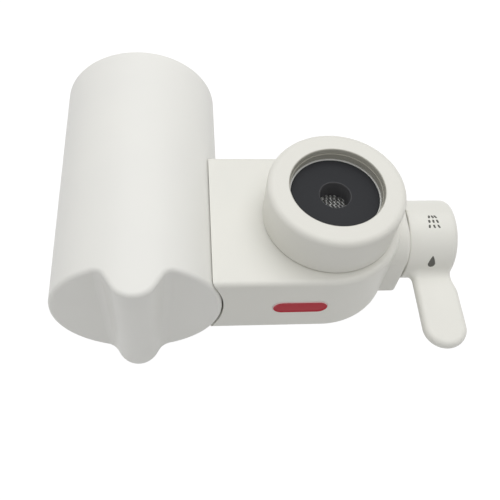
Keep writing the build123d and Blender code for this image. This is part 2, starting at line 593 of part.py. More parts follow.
def outlet_nozzle():
    """Round outlet under the body: flange, skirt, ledge for the spray plate and a socket."""
    foot = REST_Z
    ledge = foot + SPRAY_INSET + SPRAY_THICKNESS
    nozzle = rod(NOZZLE_FLANGE_RADIUS, COVER_TOP_Z, NOZZLE_TOP_Z)
    skirt = rod(NOZZLE_RADIUS, foot, COVER_TOP_Z)
    nozzle += fillet(skirt.edges().group_by(Axis.Z)[0], NOZZLE_WALL / 2)
    nozzle -= rod(NOZZLE_RADIUS - NOZZLE_WALL - NOZZLE_LEDGE, foot, COVER_TOP_Z)
    nozzle -= rod(NOZZLE_RADIUS - NOZZLE_WALL, foot, ledge)
    nozzle += rod(NOZZLE_HUB, COVER_TOP_Z - NOZZLE_HUB_DEPTH, COVER_TOP_Z)
    nozzle -= rod(OUTLET_BOSS_RADIUS + SEAT_GAP, foot, NOZZLE_TOP_Z)
    ring_seat = OUTLET_BOSS_RADIUS + 2 * RING_SECTION + SEAT_GAP
    return nozzle - rod(ring_seat, NOZZLE_TOP_Z - 2 * RING_SECTION, NOZZLE_TOP_Z)


def spray_plate():
    """Perforated disc in the nozzle's foot."""
    bottom = REST_Z + SPRAY_INSET
    plate = rod(NOZZLE_RADIUS - NOZZLE_WALL - SEAT_GAP, bottom, bottom + SPRAY_THICKNESS)
    spots = [Pos(0, 0) * Circle(SPRAY_HOLE)]
    for radius, count in SPRAY_RINGS.items():
        spots += [loc * Circle(SPRAY_HOLE) for loc in PolarLocations(radius, count)]
    for spot in spots:
        plate -= extrude(Plane.XY.offset(bottom) * spot, amount=SPRAY_THICKNESS)
    return plate


def port_manifold():
    """Block behind the cradle: two spigots, and the two ways between barrel, cartridge and spout."""
    bottom_z = AXIS_Z - MANIFOLD_HALF_HEIGHT
    top_z = AXIS_Z + MANIFOLD_HALF_HEIGHT
    manifold = block(CASE_X + CASE_RADIUS, MANIFOLD_RIGHT_X,
                     -MANIFOLD_HALF_DEPTH, MANIFOLD_HALF_DEPTH, bottom_z, top_z)
    manifold = fillet(manifold.edges().filter_by(Axis.X), MANIFOLD_EDGE)
    manifold -= rod(CRADLE_BACK_RADIUS, -FAR, FAR, "Y", CASE_AT)
    channel_end = CHANNEL_END + SEAT_GAP
    manifold -= rod(CHANNEL_BACK + SEAT_GAP, -channel_end, channel_end, "Y", CASE_AT)
    for side in (-1, 1):
        at = (side * PORT_Y, AXIS_Z)
        spigot = rod(PORT_RING_RADIUS, CASE_X, MANIFOLD_CROSS_X, "X", at)
        manifold += spigot - rod(PORT_SEAT, -FAR, FAR, "Y", CASE_AT)
        manifold -= rod(PORT_HOLE, CASE_X, MANIFOLD_CROSS_X, "X", at)
    chamber_left = MANIFOLD_RIGHT_X - MANIFOLD_CHAMBER_DEPTH
    manifold -= rod(MANIFOLD_CHAMBER, chamber_left, MANIFOLD_RIGHT_X, "X", LEVER_AT)
    manifold -= rod(PORT_HOLE, MANIFOLD_CROSS_X, MANIFOLD_RIGHT_X, "X", LEVER_AT)
    manifold -= rod(PORT_HOLE, 0, PORT_Y, "Y", (MANIFOLD_CROSS_X, AXIS_Z))
    return manifold - rod(PORT_HOLE, AXIS_Z - MANIFOLD_HALF_HEIGHT, AXIS_Z, at=(SPOUT_X, -PORT_Y))


def port_seal(side):
    """Rubber ring on a spigot, hollowed to the cartridge's round side."""
    seal = tube(PORT_RING_RADIUS, PORT_HOLE, CASE_X, MANIFOLD_CROSS_X, "X", (side * PORT_Y, AXIS_Z))
    seal = seal & rod(PORT_SEAT, -FAR, FAR, "Y", CASE_AT)
    return seal - rod(CASE_RADIUS + SEAL_GAP, -FAR, FAR, "Y", CASE_AT)


def filtered_spout():
    """Small spout under the manifold, held by its flange above the cover."""
    at = (SPOUT_X, -PORT_Y)
    foot = BODY_BOTTOM_Z - SPOUT_BELOW
    spout = rod(SPOUT_RADIUS, foot, AXIS_Z - MANIFOLD_HALF_HEIGHT, at=at)
    spout = fillet(spout.edges().group_by(Axis.Z)[0], 0.6)
    spout += rod(SPOUT_FLANGE, COVER_TOP_Z, COVER_TOP_Z + NOZZLE_TOP, at=at)
    return spout - rod(SPOUT_HOLE, foot, AXIS_Z, at=at)


def badge():
    """Pill-shaped plate with a raised rim, in its recess on the front face."""
    front = -BODY_HALF_DEPTH - BADGE_PROUD
    plate = badge_slab(0, front, front + BADGE_THICKNESS)
    return plate - badge_slab(BADGE_RIM, front, front + BADGE_FIELD_DEPTH)


def ridge_bar(inset):
    """The grip ridge as a straight bar with a round crest, sloped so that its top stands out more."""
    flank = radians(RIDGE_FLANK)
    crest = RIDGE_CREST - inset
    crest_y = -(RIDGE_MID_HEIGHT - inset)
    centre_y = crest_y + crest
    touch_x = crest * sin(flank)
    touch_y = centre_y - crest * cos(flank)
    base_y = CASE_FRONT_WALL + 2 * inset
    base_x = touch_x + (base_y - touch_y) / tan(flank)
    left = Line((-base_x, base_y), (-touch_x, touch_y))
    top = ThreePointArc((-touch_x, touch_y), (0, crest_y), (touch_x, touch_y))
    right = Line((touch_x, touch_y), (base_x, base_y))
    close = Line((base_x, base_y), (-base_x, base_y))
    profile = make_face(left + top + right + close)
    bar = Pos(0, 0, -FAR / 4) * extrude(profile, amount=FAR / 2)
    return Pos(CASE_X, CASE_FRONT_Y, AXIS_Z) * Rot(0, RIDGE_LEAN, 0) * Rot(RIDGE_SLOPE, 0, 0) * bar


def cartridge_case():
    """Cylinder with the grip ridge across its front, the rail and the two port holes."""
    barrel = rod(CASE_RADIUS, CASE_FRONT_Y, CASE_BACK_Y, "Y", CASE_AT)
    reach = rod(CASE_RADIUS, CASE_FRONT_Y - 3 * RIDGE_MID_HEIGHT, CASE_BACK_Y, "Y", CASE_AT)
    case = barrel + (ridge_bar(0) & reach)
    roots = [e for e in case.edges() if e.geom_type == GeomType.LINE
             and abs(e.center().Y - CASE_FRONT_Y) < 0.1 and e.length > CASE_RADIUS]
    case = fillet(roots, RIDGE_ROOT)
    front = [e for e in case.edges() if e.center().Y < CASE_FRONT_Y + 0.5]
    outline = [e for e in front if e.geom_type != GeomType.LINE and abs(e.center().Z - AXIS_Z) > 1]
    case = fillet(outline, CASE_FRONT_EDGE)
    case = fillet(case.edges().sort_by(Axis.Y)[-1], CASE_BACK_EDGE)

    inside = rod(CASE_INNER, CASE_FRONT_Y + CASE_FRONT_WALL, CASE_BACK_Y, "Y", CASE_AT)
    room = rod(CASE_INNER, CASE_FRONT_Y - 3 * RIDGE_MID_HEIGHT, CASE_BACK_Y, "Y", CASE_AT)
    inside += ridge_bar(CASE_FRONT_WALL) & room
    case -= inside

    root = CASE_RADIUS - CASE_WALL / 2
    rail = tube(HEAD_UNDERSIDE, root, -RAIL_NECK_HALF, RAIL_NECK_HALF, "Y", CASE_AT)
    rail += tube(HEAD_TOP, HEAD_UNDERSIDE, -RAIL_HEAD_HALF, RAIL_HEAD_HALF, "Y", CASE_AT)
    case += rail & sector(-RAIL_HALF_ANGLE, RAIL_HALF_ANGLE, FAR / 4, -RAIL_HEAD_HALF, RAIL_HEAD_HALF)
    for side in (-1, 1):
        case -= rod(PORT_HOLE, CASE_X, CASE_X + FAR, "X", (side * PORT_Y, AXIS_Z))
    return case


def case_back_cap():
    """Plug that closes the case's back end, with a ring groove round it."""
    front = CASE_BACK_Y - CAP_PLUG_LENGTH
    radius = CASE_INNER - SEAL_GAP
    cap = rod(radius, front, CASE_BACK_Y, "Y", CASE_AT)
    station = (front + CASE_BACK_Y) / 2
    cap -= tube(CASE_RADIUS, radius - 2 * CAP_RING_SECTION, station - CAP_RING_SECTION,
                station + CAP_RING_SECTION, "Y", CASE_AT)
    return cap - rod(CARBON_INNER, CASE_BACK_Y - CAP_PLUG_LENGTH / 3, CASE_BACK_Y, "Y", CASE_AT)


def back_cap_seal():
    """Rubber ring round the back cap."""
    station = CASE_BACK_Y - CAP_PLUG_LENGTH / 2
    return ring(CASE_INNER - SEAL_GAP - CAP_RING_SECTION, CAP_RING_SECTION, station, "Y", CASE_AT)


def carbon_end_plate():
    """Disc that closes the carbon sleeve's far end, with a spigot in the cage."""
    plate = rod(CARBON_OUTER, CARBON_BACK_Y, CARBON_BACK_Y + END_PLATE_THICKNESS, "Y", CASE_AT)
    spigot = CAGE_OUTER - CAGE_WALL - SEAT_GAP
    return plate + rod(spigot, CARBON_BACK_Y - WALL, CARBON_BACK_Y, "Y", CASE_AT)


def carbon_sleeve():
    """Thick tube of pressed carbon."""
    return tube(CARBON_OUTER, CARBON_INNER, CARBON_FRONT_Y, CARBON_BACK_Y, "Y", CASE_AT)


def fleece_wrap():
    """Thin non-woven wrap round the carbon."""
    outer = CARBON_OUTER + FLEECE_THICKNESS
    return tube(outer, CARBON_OUTER, CARBON_FRONT_Y, CARBON_BACK_Y, "Y", CASE_AT)


def filter_cage():
    """Tube inside the carbon, with rows of slots for the water."""
    inner = CAGE_OUTER - CAGE_WALL
    cage = tube(CAGE_OUTER, inner, POTTING_BACK_Y, CARBON_BACK_Y, "Y", CASE_AT)
    cage += tube(CARBON_OUTER, inner, POTTING_BACK_Y, CARBON_FRONT_Y, "Y", CASE_AT)
    step = (CARBON_BACK_Y - CARBON_FRONT_Y) / CAGE_ROWS
    for row in range(CAGE_ROWS):
        middle = CARBON_FRONT_Y + step * (row + 0.5)
        slot = block(-CAGE_SLOT_WIDTH / 2, CAGE_SLOT_WIDTH / 2, middle - CAGE_SLOT_LENGTH / 2,
                     middle + CAGE_SLOT_LENGTH / 2, 0, CASE_RADIUS)
        for column in range(CAGE_COLUMNS):
            cage -= Pos(CASE_X, 0, AXIS_Z) * Rot(0, 360 / CAGE_COLUMNS * column, 0) * slot
    return cage


def fibre_bundle():
    """Hollow fibres as one bundle, bent over at the far end."""
    bundle = rod(FIBRE_RADIUS, POTTING_BACK_Y, FIBRE_BACK_Y, "Y", CASE_AT)
    return fillet(bundle.edges().group_by(Axis.Y)[-1], FIBRE_BEND)


def potting_disc():
    """Resin disc across the case that the fibres end in, with a ring groove."""
    radius = CASE_INNER - SEAL_GAP
    middle = (POTTING_FRONT_Y + POTTING_BACK_Y) / 2
    disc = rod(radius, POTTING_FRONT_Y, POTTING_BACK_Y, "Y", CASE_AT)
    return disc - tube(CASE_RADIUS, radius - 2 * CAP_RING_SECTION, middle - CAP_RING_SECTION,
                       middle + CAP_RING_SECTION, "Y", CASE_AT)


def potting_seal():
    """Rubber ring round the potting disc."""
    middle = (POTTING_FRONT_Y + POTTING_BACK_Y) / 2
    return ring(CASE_INNER - SEAL_GAP - CAP_RING_SECTION, CAP_RING_SECTION, middle, "Y", CASE_AT)


def outlet_seal():
    """Rubber ring round the outlet boss, in the nozzle's top."""
    centre_radius = OUTLET_BOSS_RADIUS + SEAL_GAP + RING_SECTION
    return ring(centre_radius, RING_SECTION, NOZZLE_TOP_Z - RING_SECTION)


def manifold_gasket():
    """Flat ring between the valve barrel and the manifold."""
    return tube(BARREL_RADIUS, MANIFOLD_CHAMBER, MANIFOLD_RIGHT_X, BARREL_LEFT_X, "X", LEVER_AT)


def spool_seal(station):
    """Rubber ring in one of the spool's grooves."""
    return ring(RING_CENTRE, RING_SECTION, station, "X", LEVER_AT)


def all_parts():
    """Every node by name."""
    parts = {
        "main_housing": main_housing(),
        "base_cover": base_cover(),
        "housing_screws": housing_screws(),
        "collar_nut": collar_nut(),
        "inlet_gasket": inlet_gasket(),
        "strainer_mesh": strainer_mesh(),
        "strainer_ring": strainer_ring(),
        "valve_body": valve_body(),
        "valve_spool": valve_spool(),
        "retaining_clip": retaining_clip(),
        "lever": lever(),
        "lever_screw": lever_screw(),
        "lever_cap": lever_cap(),
        "outlet_nozzle": outlet_nozzle(),
        "outlet_seal": outlet_seal(),
        "spray_plate": spray_plate(),
        "port_manifold": port_manifold(),
        "manifold_gasket": manifold_gasket(),
        "port_seal_raw": port_seal(1),
        "port_seal_filtered": port_seal(-1),
        "filtered_spout": filtered_spout(),
        "badge": badge(),
        "cartridge_case": cartridge_case(),
        "case_back_cap": case_back_cap(),
        "back_cap_seal": back_cap_seal(),
        "carbon_end_plate": carbon_end_plate(),
        "carbon_sleeve": carbon_sleeve(),
        "fleece_wrap": fleece_wrap(),
        "filter_cage": filter_cage(),
        "fibre_bundle": fibre_bundle(),
        "potting_disc": potting_disc(),
        "potting_seal": potting_seal(),
    }
    for side, station in RING_STATIONS.items():
        parts[f"spool_seal_{side}"] = spool_seal(station)
    return parts


if __name__ == "__main__":
    os.makedirs("parts", exist_ok=True)
    for name, shape in all_parts().items():
        export_step(shape, f"parts/{name}.step")
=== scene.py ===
"""Looks of the faucet mount water filter: finishes, printed signs, woven strainer, light and camera."""

from __future__ import annotations

import json
import logging
from abc import ABC, abstractmethod
from dataclasses import dataclass, field
from enum import Enum
from math import cos, pi, radians, sin, sqrt

import bpy
from mathutils import Matrix, Vector

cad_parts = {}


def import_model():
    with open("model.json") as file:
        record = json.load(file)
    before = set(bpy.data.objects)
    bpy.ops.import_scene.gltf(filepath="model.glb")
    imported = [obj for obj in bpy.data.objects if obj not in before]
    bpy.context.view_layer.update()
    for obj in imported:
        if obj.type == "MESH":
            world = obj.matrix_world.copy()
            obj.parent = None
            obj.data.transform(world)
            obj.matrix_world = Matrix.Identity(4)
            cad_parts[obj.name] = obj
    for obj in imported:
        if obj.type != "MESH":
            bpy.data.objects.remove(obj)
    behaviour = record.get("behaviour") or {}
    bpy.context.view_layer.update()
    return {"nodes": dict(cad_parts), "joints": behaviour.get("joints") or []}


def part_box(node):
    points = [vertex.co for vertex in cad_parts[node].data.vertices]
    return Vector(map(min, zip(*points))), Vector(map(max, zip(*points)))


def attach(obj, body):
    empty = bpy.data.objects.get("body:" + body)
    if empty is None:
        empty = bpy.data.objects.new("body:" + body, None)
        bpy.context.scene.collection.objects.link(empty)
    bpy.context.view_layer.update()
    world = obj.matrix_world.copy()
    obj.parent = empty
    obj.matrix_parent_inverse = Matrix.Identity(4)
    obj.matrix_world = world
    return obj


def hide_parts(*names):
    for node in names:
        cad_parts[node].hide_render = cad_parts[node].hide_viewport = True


LOG = logging.getLogger("water_filter")
MM = 0.001
NOISE_ROUGHNESS = 0.55
WHITE = (1.0, 1.0, 1.0)

Rgb = tuple[float, float, float]
Point = tuple[float, float, float]


class Body(Enum):
    """The frame's bodies that pieces ride on."""

    HOUSING = "housing"
    COLLAR = "collar"
    LEVER = "lever"
    CARTRIDGE = "cartridge"


class Slot(Enum):
    """The record's material slot names, which nothing in this script uses."""

    STEEL = "steel"
    PRINT = "spray_grey"
    BADGE = "badge_red"
    FIBRES = "fibres"


class Effect(Enum):
    """Surface effects that several finishes share, one node group each."""

    TONE_DRIFT = "tone_drift"
    HANDLING_FILM = "handling_film"
    MOULD_GRAIN = "mould_grain"
    TURNING_MARKS = "turning_marks"
    STRANDS = "strands"
    GRANULES = "granules"
    # Painted light and shade on the wall of a bore round the inlet's axis.
    BORE_PAINTED_LIGHT_AND_SHADE = "bore_painted_light_and_shade"


class Sign(Enum):
    """The two signs printed on the lever's hub."""

    SPRAY = "spray_sign"
    DROP = "drop_sign"


# Shader tools


class Graph:
    """Adds and links nodes in one shader tree."""

    mix_share = 0
    mix_first = 6
    mix_second = 7
    mix_colour = 2

    def __init__(self, tree: bpy.types.NodeTree) -> None:
        """Keeps the tree to work in.

        Args:
            tree: A material's node tree or a shader node group.
        """
        self.tree = tree

    def feed(self, socket: bpy.types.NodeSocket, value: object) -> None:
        """Links another socket to a socket, or sets its value.

        Args:
            socket: The input to fill.
            value: An output socket, a number or a colour.
        """
        if isinstance(value, bpy.types.NodeSocket):
            self.tree.links.new(value, socket)
        else:
            socket.default_value = value

    def add(self, kind: str, inputs: dict | None = None, **settings: object) -> bpy.types.Node:
        """Adds one node.

        Args:
            kind: The node's type name.
            inputs: Values or sockets by input name or number.
            **settings: The node's own properties.

        Returns:
            The new node.
        """
        node = self.tree.nodes.new(kind)
        for key, value in settings.items():
            setattr(node, key, value)
        for key, value in (inputs or {}).items():
            self.feed(node.inputs[key], value)
        return node

    def math(self, operation: str, *values: object) -> bpy.types.NodeSocket:
        """Adds a math node and returns its result.

        Args:
            operation: The math node's operation.
            *values: Its inputs in order.

        Returns:
            The result socket.
        """
        node = self.add("ShaderNodeMath", dict(enumerate(values)), operation=operation)
        return node.outputs[0]

    def noise(self, position: object, scale: object, detail: float) -> bpy.types.NodeSocket:
        """Adds a cloudy noise.

        Args:
            position: The coordinates.
            scale: Waves per metre.
            detail: Octaves of finer noise.

        Returns:
            The noise, between 0 and 1.
        """
        inputs = {"Vector": position, "Scale": scale, "Detail": detail, "Roughness": NOISE_ROUGHNESS}
        return self.add("ShaderNodeTexNoise", inputs).outputs[0]

    def blend(self, share: object, first: object, second: object) -> bpy.types.NodeSocket:
        """Mixes two colours.

        Args:
            share: Share of the second colour.
            first: Colour at share 0.
            second: Colour at share 1.

        Returns:
            The mixed colour.
        """
        node = self.add("ShaderNodeMix", data_type="RGBA", blend_type="MIX")
        self.feed(node.inputs[self.mix_share], share)
        self.feed(node.inputs[self.mix_first], first)
        self.feed(node.inputs[self.mix_second], second)
        return node.outputs[self.mix_colour]

    def ramp(self, value: object, low: float, high: float) -> bpy.types.NodeSocket:
        """Rises evenly from 0 to 1 over a range.

        Args:
            value: What to map.
            low: Value that gives 0.
            high: Value that gives 1.

        Returns:
            The mapped value.
        """
        return self.add("ShaderNodeMapRange", {0: value, 1: low, 2: high}).outputs[0]

    def scaled(self, position: object, factors: object) -> bpy.types.NodeSocket:
        """Multiplies coordinates one by one.

        Args:
            position: The coordinates.
            factors: Factor along each axis.

        Returns:
            The new coordinates.
        """
        node = self.add("ShaderNodeVectorMath", {0: position, 1: factors}, operation="MULTIPLY")
        return node.outputs[0]

    def axis_distance(self, position: object) -> bpy.types.NodeSocket:
        """Distance from the inlet's upright axis.

        Args:
            position: The coordinates.

        Returns:
            The distance.
        """
        flat = self.scaled(position, (1.0, 1.0, 0.0))
        return self.add("ShaderNodeVectorMath", {0: flat}, operation="LENGTH").outputs["Value"]


class EffectLibrary:
    """Builds each effect's node group once and places it in materials."""

    ring_wobble_scale = 900.0

    def __init__(self) -> None:
        """Starts with no group built."""
        self._built: dict[Effect, bpy.types.NodeTree] = {}

    def place(self, graph: Graph, effect: Effect, **inputs: object) -> bpy.types.Node:
        """Puts an effect into a material.

        Args:
            graph: The material's graph.
            effect: Which effect.
            **inputs: The group's inputs, with underscores for spaces.

        Returns:
            The group node.
        """
        node = graph.add("ShaderNodeGroup")
        node.node_tree = self._tree(effect)
        for key, value in inputs.items():
            graph.feed(node.inputs[key.replace("_", " ")], value)
        return node

    def _tree(self, effect: Effect) -> bpy.types.NodeTree:
        """Returns the effect's group and builds it on first use.

        Args:
            effect: Which effect.

        Returns:
            The shader node group.
        """
        if effect not in self._built:
            makers = {
                Effect.TONE_DRIFT: self._tone_drift,
                Effect.HANDLING_FILM: self._handling_film,
                Effect.MOULD_GRAIN: self._mould_grain,
                Effect.TURNING_MARKS: self._turning_marks,
                Effect.STRANDS: self._strands,
                Effect.GRANULES: self._granules,
                Effect.BORE_PAINTED_LIGHT_AND_SHADE: self._bore_painted_light_and_shade,
            }
            self._built[effect] = makers[effect](effect.value)
        return self._built[effect]

    @staticmethod
    def _open(
        name: str, inputs: dict[str, str], outputs: dict[str, str]
    ) -> tuple[bpy.types.NodeTree, Graph, bpy.types.Node, bpy.types.Node]:
        """Starts a node group with its sockets.

        Args:
            name: The group's name.
            inputs: Socket type by input name.
            outputs: Socket type by output name.

        Returns:
            The tree, its graph, the input node and the output node.
        """
        tree = bpy.data.node_groups.new(name, "ShaderNodeTree")
        for label, kind in inputs.items():
            tree.interface.new_socket(label, in_out="INPUT", socket_type=kind)
        for label, kind in outputs.items():
            tree.interface.new_socket(label, in_out="OUTPUT", socket_type=kind)
        graph = Graph(tree)
        return tree, graph, graph.add("NodeGroupInput"), graph.add("NodeGroupOutput")

    def _tone_drift(self, name: str) -> bpy.types.NodeTree:
        """Slow change between two near colours.

        Args:
            name: The group's name.

        Returns:
            The group, with Position, Color, Second Color and Size in and Color out.
        """
        sockets = {
            "Position": "NodeSocketVector",
            "Color": "NodeSocketColor",
            "Second Color": "NodeSocketColor",
            "Size": "NodeSocketFloat",
        }
        tree, graph, given, out = self._open(name, sockets, {"Color": "NodeSocketColor"})
        scale = graph.math("DIVIDE", 1.0, given.outputs["Size"])
        cloud = graph.noise(given.outputs["Position"], scale, 2.0)
        share = graph.ramp(cloud, low=0.3, high=0.7)
        mixed = graph.blend(share, given.outputs["Color"], given.outputs["Second Color"])
        graph.feed(out.inputs["Color"], mixed)
        return tree

    def _handling_film(self, name: str) -> bpy.types.NodeTree:
        """Soft uneven gloss, as on a surface that hands have touched.

        Args:
            name: The group's name.

        Returns:
            The group, with Position, Size, Roughness and Spread in and Roughness out.
        """
        sockets = {
            "Position": "NodeSocketVector",
            "Size": "NodeSocketFloat",
            "Roughness": "NodeSocketFloat",
            "Spread": "NodeSocketFloat",
        }
        tree, graph, given, out = self._open(name, sockets, {"Roughness": "NodeSocketFloat"})
        scale = graph.math("DIVIDE", 1.0, given.outputs["Size"])
        cloud = graph.noise(given.outputs["Position"], scale, 4.0)
        centred = graph.math("SUBTRACT", cloud, 0.5)
        swing = graph.math("MULTIPLY", centred, given.outputs["Spread"])
        graph.feed(out.inputs["Roughness"], graph.math("ADD", given.outputs["Roughness"], swing))
        return tree

    def _mould_grain(self, name: str) -> bpy.types.NodeTree:
        """Fine grain that a spark-cut mould leaves, with a slow ripple below it.

        Args:
            name: The group's name.

        Returns:
            The group, with Position, Grain and Ripple in and Height out.
        """
        sockets = {
            "Position": "NodeSocketVector",
            "Grain": "NodeSocketFloat",
            "Ripple": "NodeSocketFloat",
        }
        tree, graph, given, out = self._open(name, sockets, {"Height": "NodeSocketFloat"})
        position = given.outputs["Position"]
        fine = graph.noise(position, graph.math("DIVIDE", 1.0, given.outputs["Grain"]), 3.0)
        slow = graph.noise(position, graph.math("DIVIDE", 1.0, given.outputs["Ripple"]), 1.0)
        graph.feed(out.inputs["Height"], graph.math("ADD", fine, slow))
        return tree

    def _turning_marks(self, name: str) -> bpy.types.NodeTree:
        """Rings about the inlet's axis, as a lathe or a turned mould leaves them.

        Args:
            name: The group's name.

        Returns:
            The group, with Position and Pitch in and Height out.
        """
        sockets = {"Position": "NodeSocketVector", "Pitch": "NodeSocketFloat"}
        tree, graph, given, out = self._open(name, sockets, {"Height": "NodeSocketFloat"})
        reach = graph.axis_distance(given.outputs["Position"])
        turns = graph.math("DIVIDE", reach, given.outputs["Pitch"])
        wobble = graph.noise(given.outputs["Position"], self.ring_wobble_scale, 2.0)
        phase = graph.math("ADD", turns, wobble)
        wave = graph.math("SINE", graph.math("MULTIPLY", phase, 2 * pi))
        graph.feed(out.inputs["Height"], wave)
        return tree

    def _strands(self, name: str) -> bpy.types.NodeTree:
        """Fine threads that run one way and part a little.

        Args:
            name: The group's name.

        Returns:
            The group, with Position, Stretch and Width in, and Mask and Height out.
        """
        sockets = {
            "Position": "NodeSocketVector",
            "Stretch": "NodeSocketVector",
            "Width": "NodeSocketFloat",
        }
        outputs = {"Mask": "NodeSocketFloat", "Height": "NodeSocketFloat"}
        tree, graph, given, out = self._open(name, sockets, outputs)
        drawn = graph.scaled(given.outputs["Position"], given.outputs["Stretch"])
        scale = graph.math("DIVIDE", 1.0, given.outputs["Width"])
        thread = graph.noise(drawn, scale, 5.0)
        graph.feed(out.inputs["Mask"], graph.ramp(thread, low=0.38, high=0.62))
        graph.feed(out.inputs["Height"], thread)
        return tree

    def _granules(self, name: str) -> bpy.types.NodeTree:
        """Packed grains with dark gaps between them.

        Args:
            name: The group's name.

        Returns:
            The group, with Position and Size in, and Mask and Height out.
        """
        sockets = {"Position": "NodeSocketVector", "Size": "NodeSocketFloat"}
        outputs = {"Mask": "NodeSocketFloat", "Height": "NodeSocketFloat"}
        tree, graph, given, out = self._open(name, sockets, outputs)
        scale = graph.math("DIVIDE", 1.0, given.outputs["Size"])
        inputs = {"Vector": given.outputs["Position"], "Scale": scale}
        cell = graph.add("ShaderNodeTexVoronoi", inputs, feature="F1")
        gap = graph.ramp(cell.outputs["Distance"], low=0.35, high=0.8)
        graph.feed(out.inputs["Mask"], gap)
        graph.feed(out.inputs["Height"], graph.math("SUBTRACT", 1.0, gap))
        return tree

    def _bore_painted_light_and_shade(self, name: str) -> bpy.types.NodeTree:
        """Mask of the wall of an upright hole round the inlet's axis, where a flat colour is painted in
        place of light and shade.

        Args:
            name: The group's name.

        Returns:
            The group, with Position, Radius and Softness in and Mask out.
        """
        sockets = {
            "Position": "NodeSocketVector",
            "Radius": "NodeSocketFloat",
            "Softness": "NodeSocketFloat",
        }
        tree, graph, given, out = self._open(name, sockets, {"Mask": "NodeSocketFloat"})
        reach = graph.axis_distance(given.outputs["Position"])
        inside = graph.math("SUBTRACT", given.outputs["Radius"], reach)
        share = graph.math("DIVIDE", inside, given.outputs["Softness"])
        mask = graph.add("ShaderNodeClamp", {0: share})
        graph.feed(out.inputs["Mask"], mask.outputs[0])
        return tree


# Finishes


def rgba(colour: Rgb) -> tuple[float, float, float, float]:
    """Returns a colour with full opacity."""
    return (*colour, 1.0)


@dataclass(frozen=True)
class Ground:
    """What a finish starts from in its material."""

    graph: Graph
    effects: EffectLibrary
    position: bpy.types.NodeSocket

    def place(self, effect: Effect, **inputs: object) -> bpy.types.Node:
        """Puts an effect into the material, laid out by the piece's own coordinates.

        Args:
            effect: Which effect.
            **inputs: The group's other inputs, with underscores for spaces.

        Returns:
            The group node.
        """
        return self.effects.place(self.graph, effect, Position=self.position, **inputs)


@dataclass(frozen=True)
class Finish(ABC):
    """One surface finish. Sizes are in millimetres, colours are linear."""

    name: str
    colour: Rgb
    second_colour: Rgb
    roughness: float
    roughness_spread: float = 0.08
    drift_size: float = 30.0
    film_size: float = 9.0
    relief: float = 0.01
    metallic: float = 0.0
    specular: float = 0.4
    # Painted light and shade on a bore's wall: its radius, its colour and its soft edge; a radius of 0
    # paints none.
    painted_light_and_shade_radius: float = 0.0
    painted_light_and_shade_colour: Rgb = (0.0, 0.0, 0.0)
    painted_light_and_shade_softness: float = 0.35

    def build(self, effects: EffectLibrary) -> bpy.types.Material:
        """Makes the material: drifting colour, uneven gloss, relief, and painted light and shade on a
        bore's wall where a radius is given.

        Args:
            effects: The shared node groups.

        Returns:
            The material.
        """
        material = bpy.data.materials.new(self.name)
        material.use_nodes = True
        graph = Graph(material.node_tree)
        shader = material.node_tree.nodes["Principled BSDF"]
        ground = Ground(graph, effects, graph.add("ShaderNodeTexCoord").outputs["Object"])
        drift = ground.place(
            Effect.TONE_DRIFT,
            Color=rgba(self.colour),
            Second_Color=rgba(self.second_colour),
            Size=self.drift_size * MM,
        )
        film = ground.place(
            Effect.HANDLING_FILM,
            Size=self.film_size * MM,
            Roughness=self.roughness,
            Spread=self.roughness_spread,
        )
        colour, height = self.surface(ground, drift.outputs["Color"])
        # Painted light and shade: the bore's wall takes a flat colour, painted shade in the collar's
        # mouth and painted light in the packing's hole.
        if self.painted_light_and_shade_radius > 0.0:
            wall = ground.place(
                Effect.BORE_PAINTED_LIGHT_AND_SHADE,
                Radius=self.painted_light_and_shade_radius * MM,
                Softness=self.painted_light_and_shade_softness * MM,
            )
            colour = graph.blend(wall.outputs["Mask"], colour, rgba(self.painted_light_and_shade_colour))
        bump = graph.add(
            "ShaderNodeBump", {"Strength": 1.0, "Distance": self.relief * MM, "Height": height}
        )
        shader.inputs["Metallic"].default_value = self.metallic
        shader.inputs["Specular IOR Level"].default_value = self.specular
        graph.feed(shader.inputs["Base Color"], colour)
        graph.feed(shader.inputs["Roughness"], film.outputs["Roughness"])
        graph.feed(shader.inputs["Normal"], bump.outputs["Normal"])
        return material

    @abstractmethod
    def surface(
        self, ground: Ground, colour: bpy.types.NodeSocket
    ) -> tuple[bpy.types.NodeSocket, bpy.types.NodeSocket]:
        """Adds what is special to this finish.

        Args:
            ground: What the finish starts from.
            colour: The drifting base colour.

        Returns:
            The final colour and the relief's height.
        """


@dataclass(frozen=True)
class MouldedPlastic(Finish):
    """Satin plastic from a finely grained mould."""

    grain: float = 0.28
    ripple: float = 14.0

    def surface(
        self, ground: Ground, colour: bpy.types.NodeSocket
    ) -> tuple[bpy.types.NodeSocket, bpy.types.NodeSocket]:
        """Leaves the colour and adds the mould's grain.

        Args:
            ground: What the finish starts from.
            colour: The drifting base colour.

        Returns:
            The colour and the grain's height.
        """
        grain = ground.place(
            Effect.MOULD_GRAIN, Grain=self.grain * MM, Ripple=self.ripple * MM
        )
        return colour, grain.outputs["Height"]


@dataclass(frozen=True)
class RingMarked(Finish):
    """Rubber or metal with fine rings about the inlet's axis."""

    pitch: float = 0.35
    ring_share: float = 0.3
    grain: float = 0.12
    ripple: float = 5.0

    def surface(
        self, ground: Ground, colour: bpy.types.NodeSocket
    ) -> tuple[bpy.types.NodeSocket, bpy.types.NodeSocket]:
        """Leaves the colour and adds the rings over a fine grain.

        Args:
            ground: What the finish starts from.
            colour: The drifting base colour.

        Returns:
            The colour and the rings' height.
        """
        rings = ground.place(Effect.TURNING_MARKS, Pitch=self.pitch * MM)
        grain = ground.place(
            Effect.MOULD_GRAIN, Grain=self.grain * MM, Ripple=self.ripple * MM
        )
        soft = ground.graph.math("MULTIPLY", rings.outputs["Height"], self.ring_share)
        return colour, ground.graph.math("ADD", soft, grain.outputs["Height"])


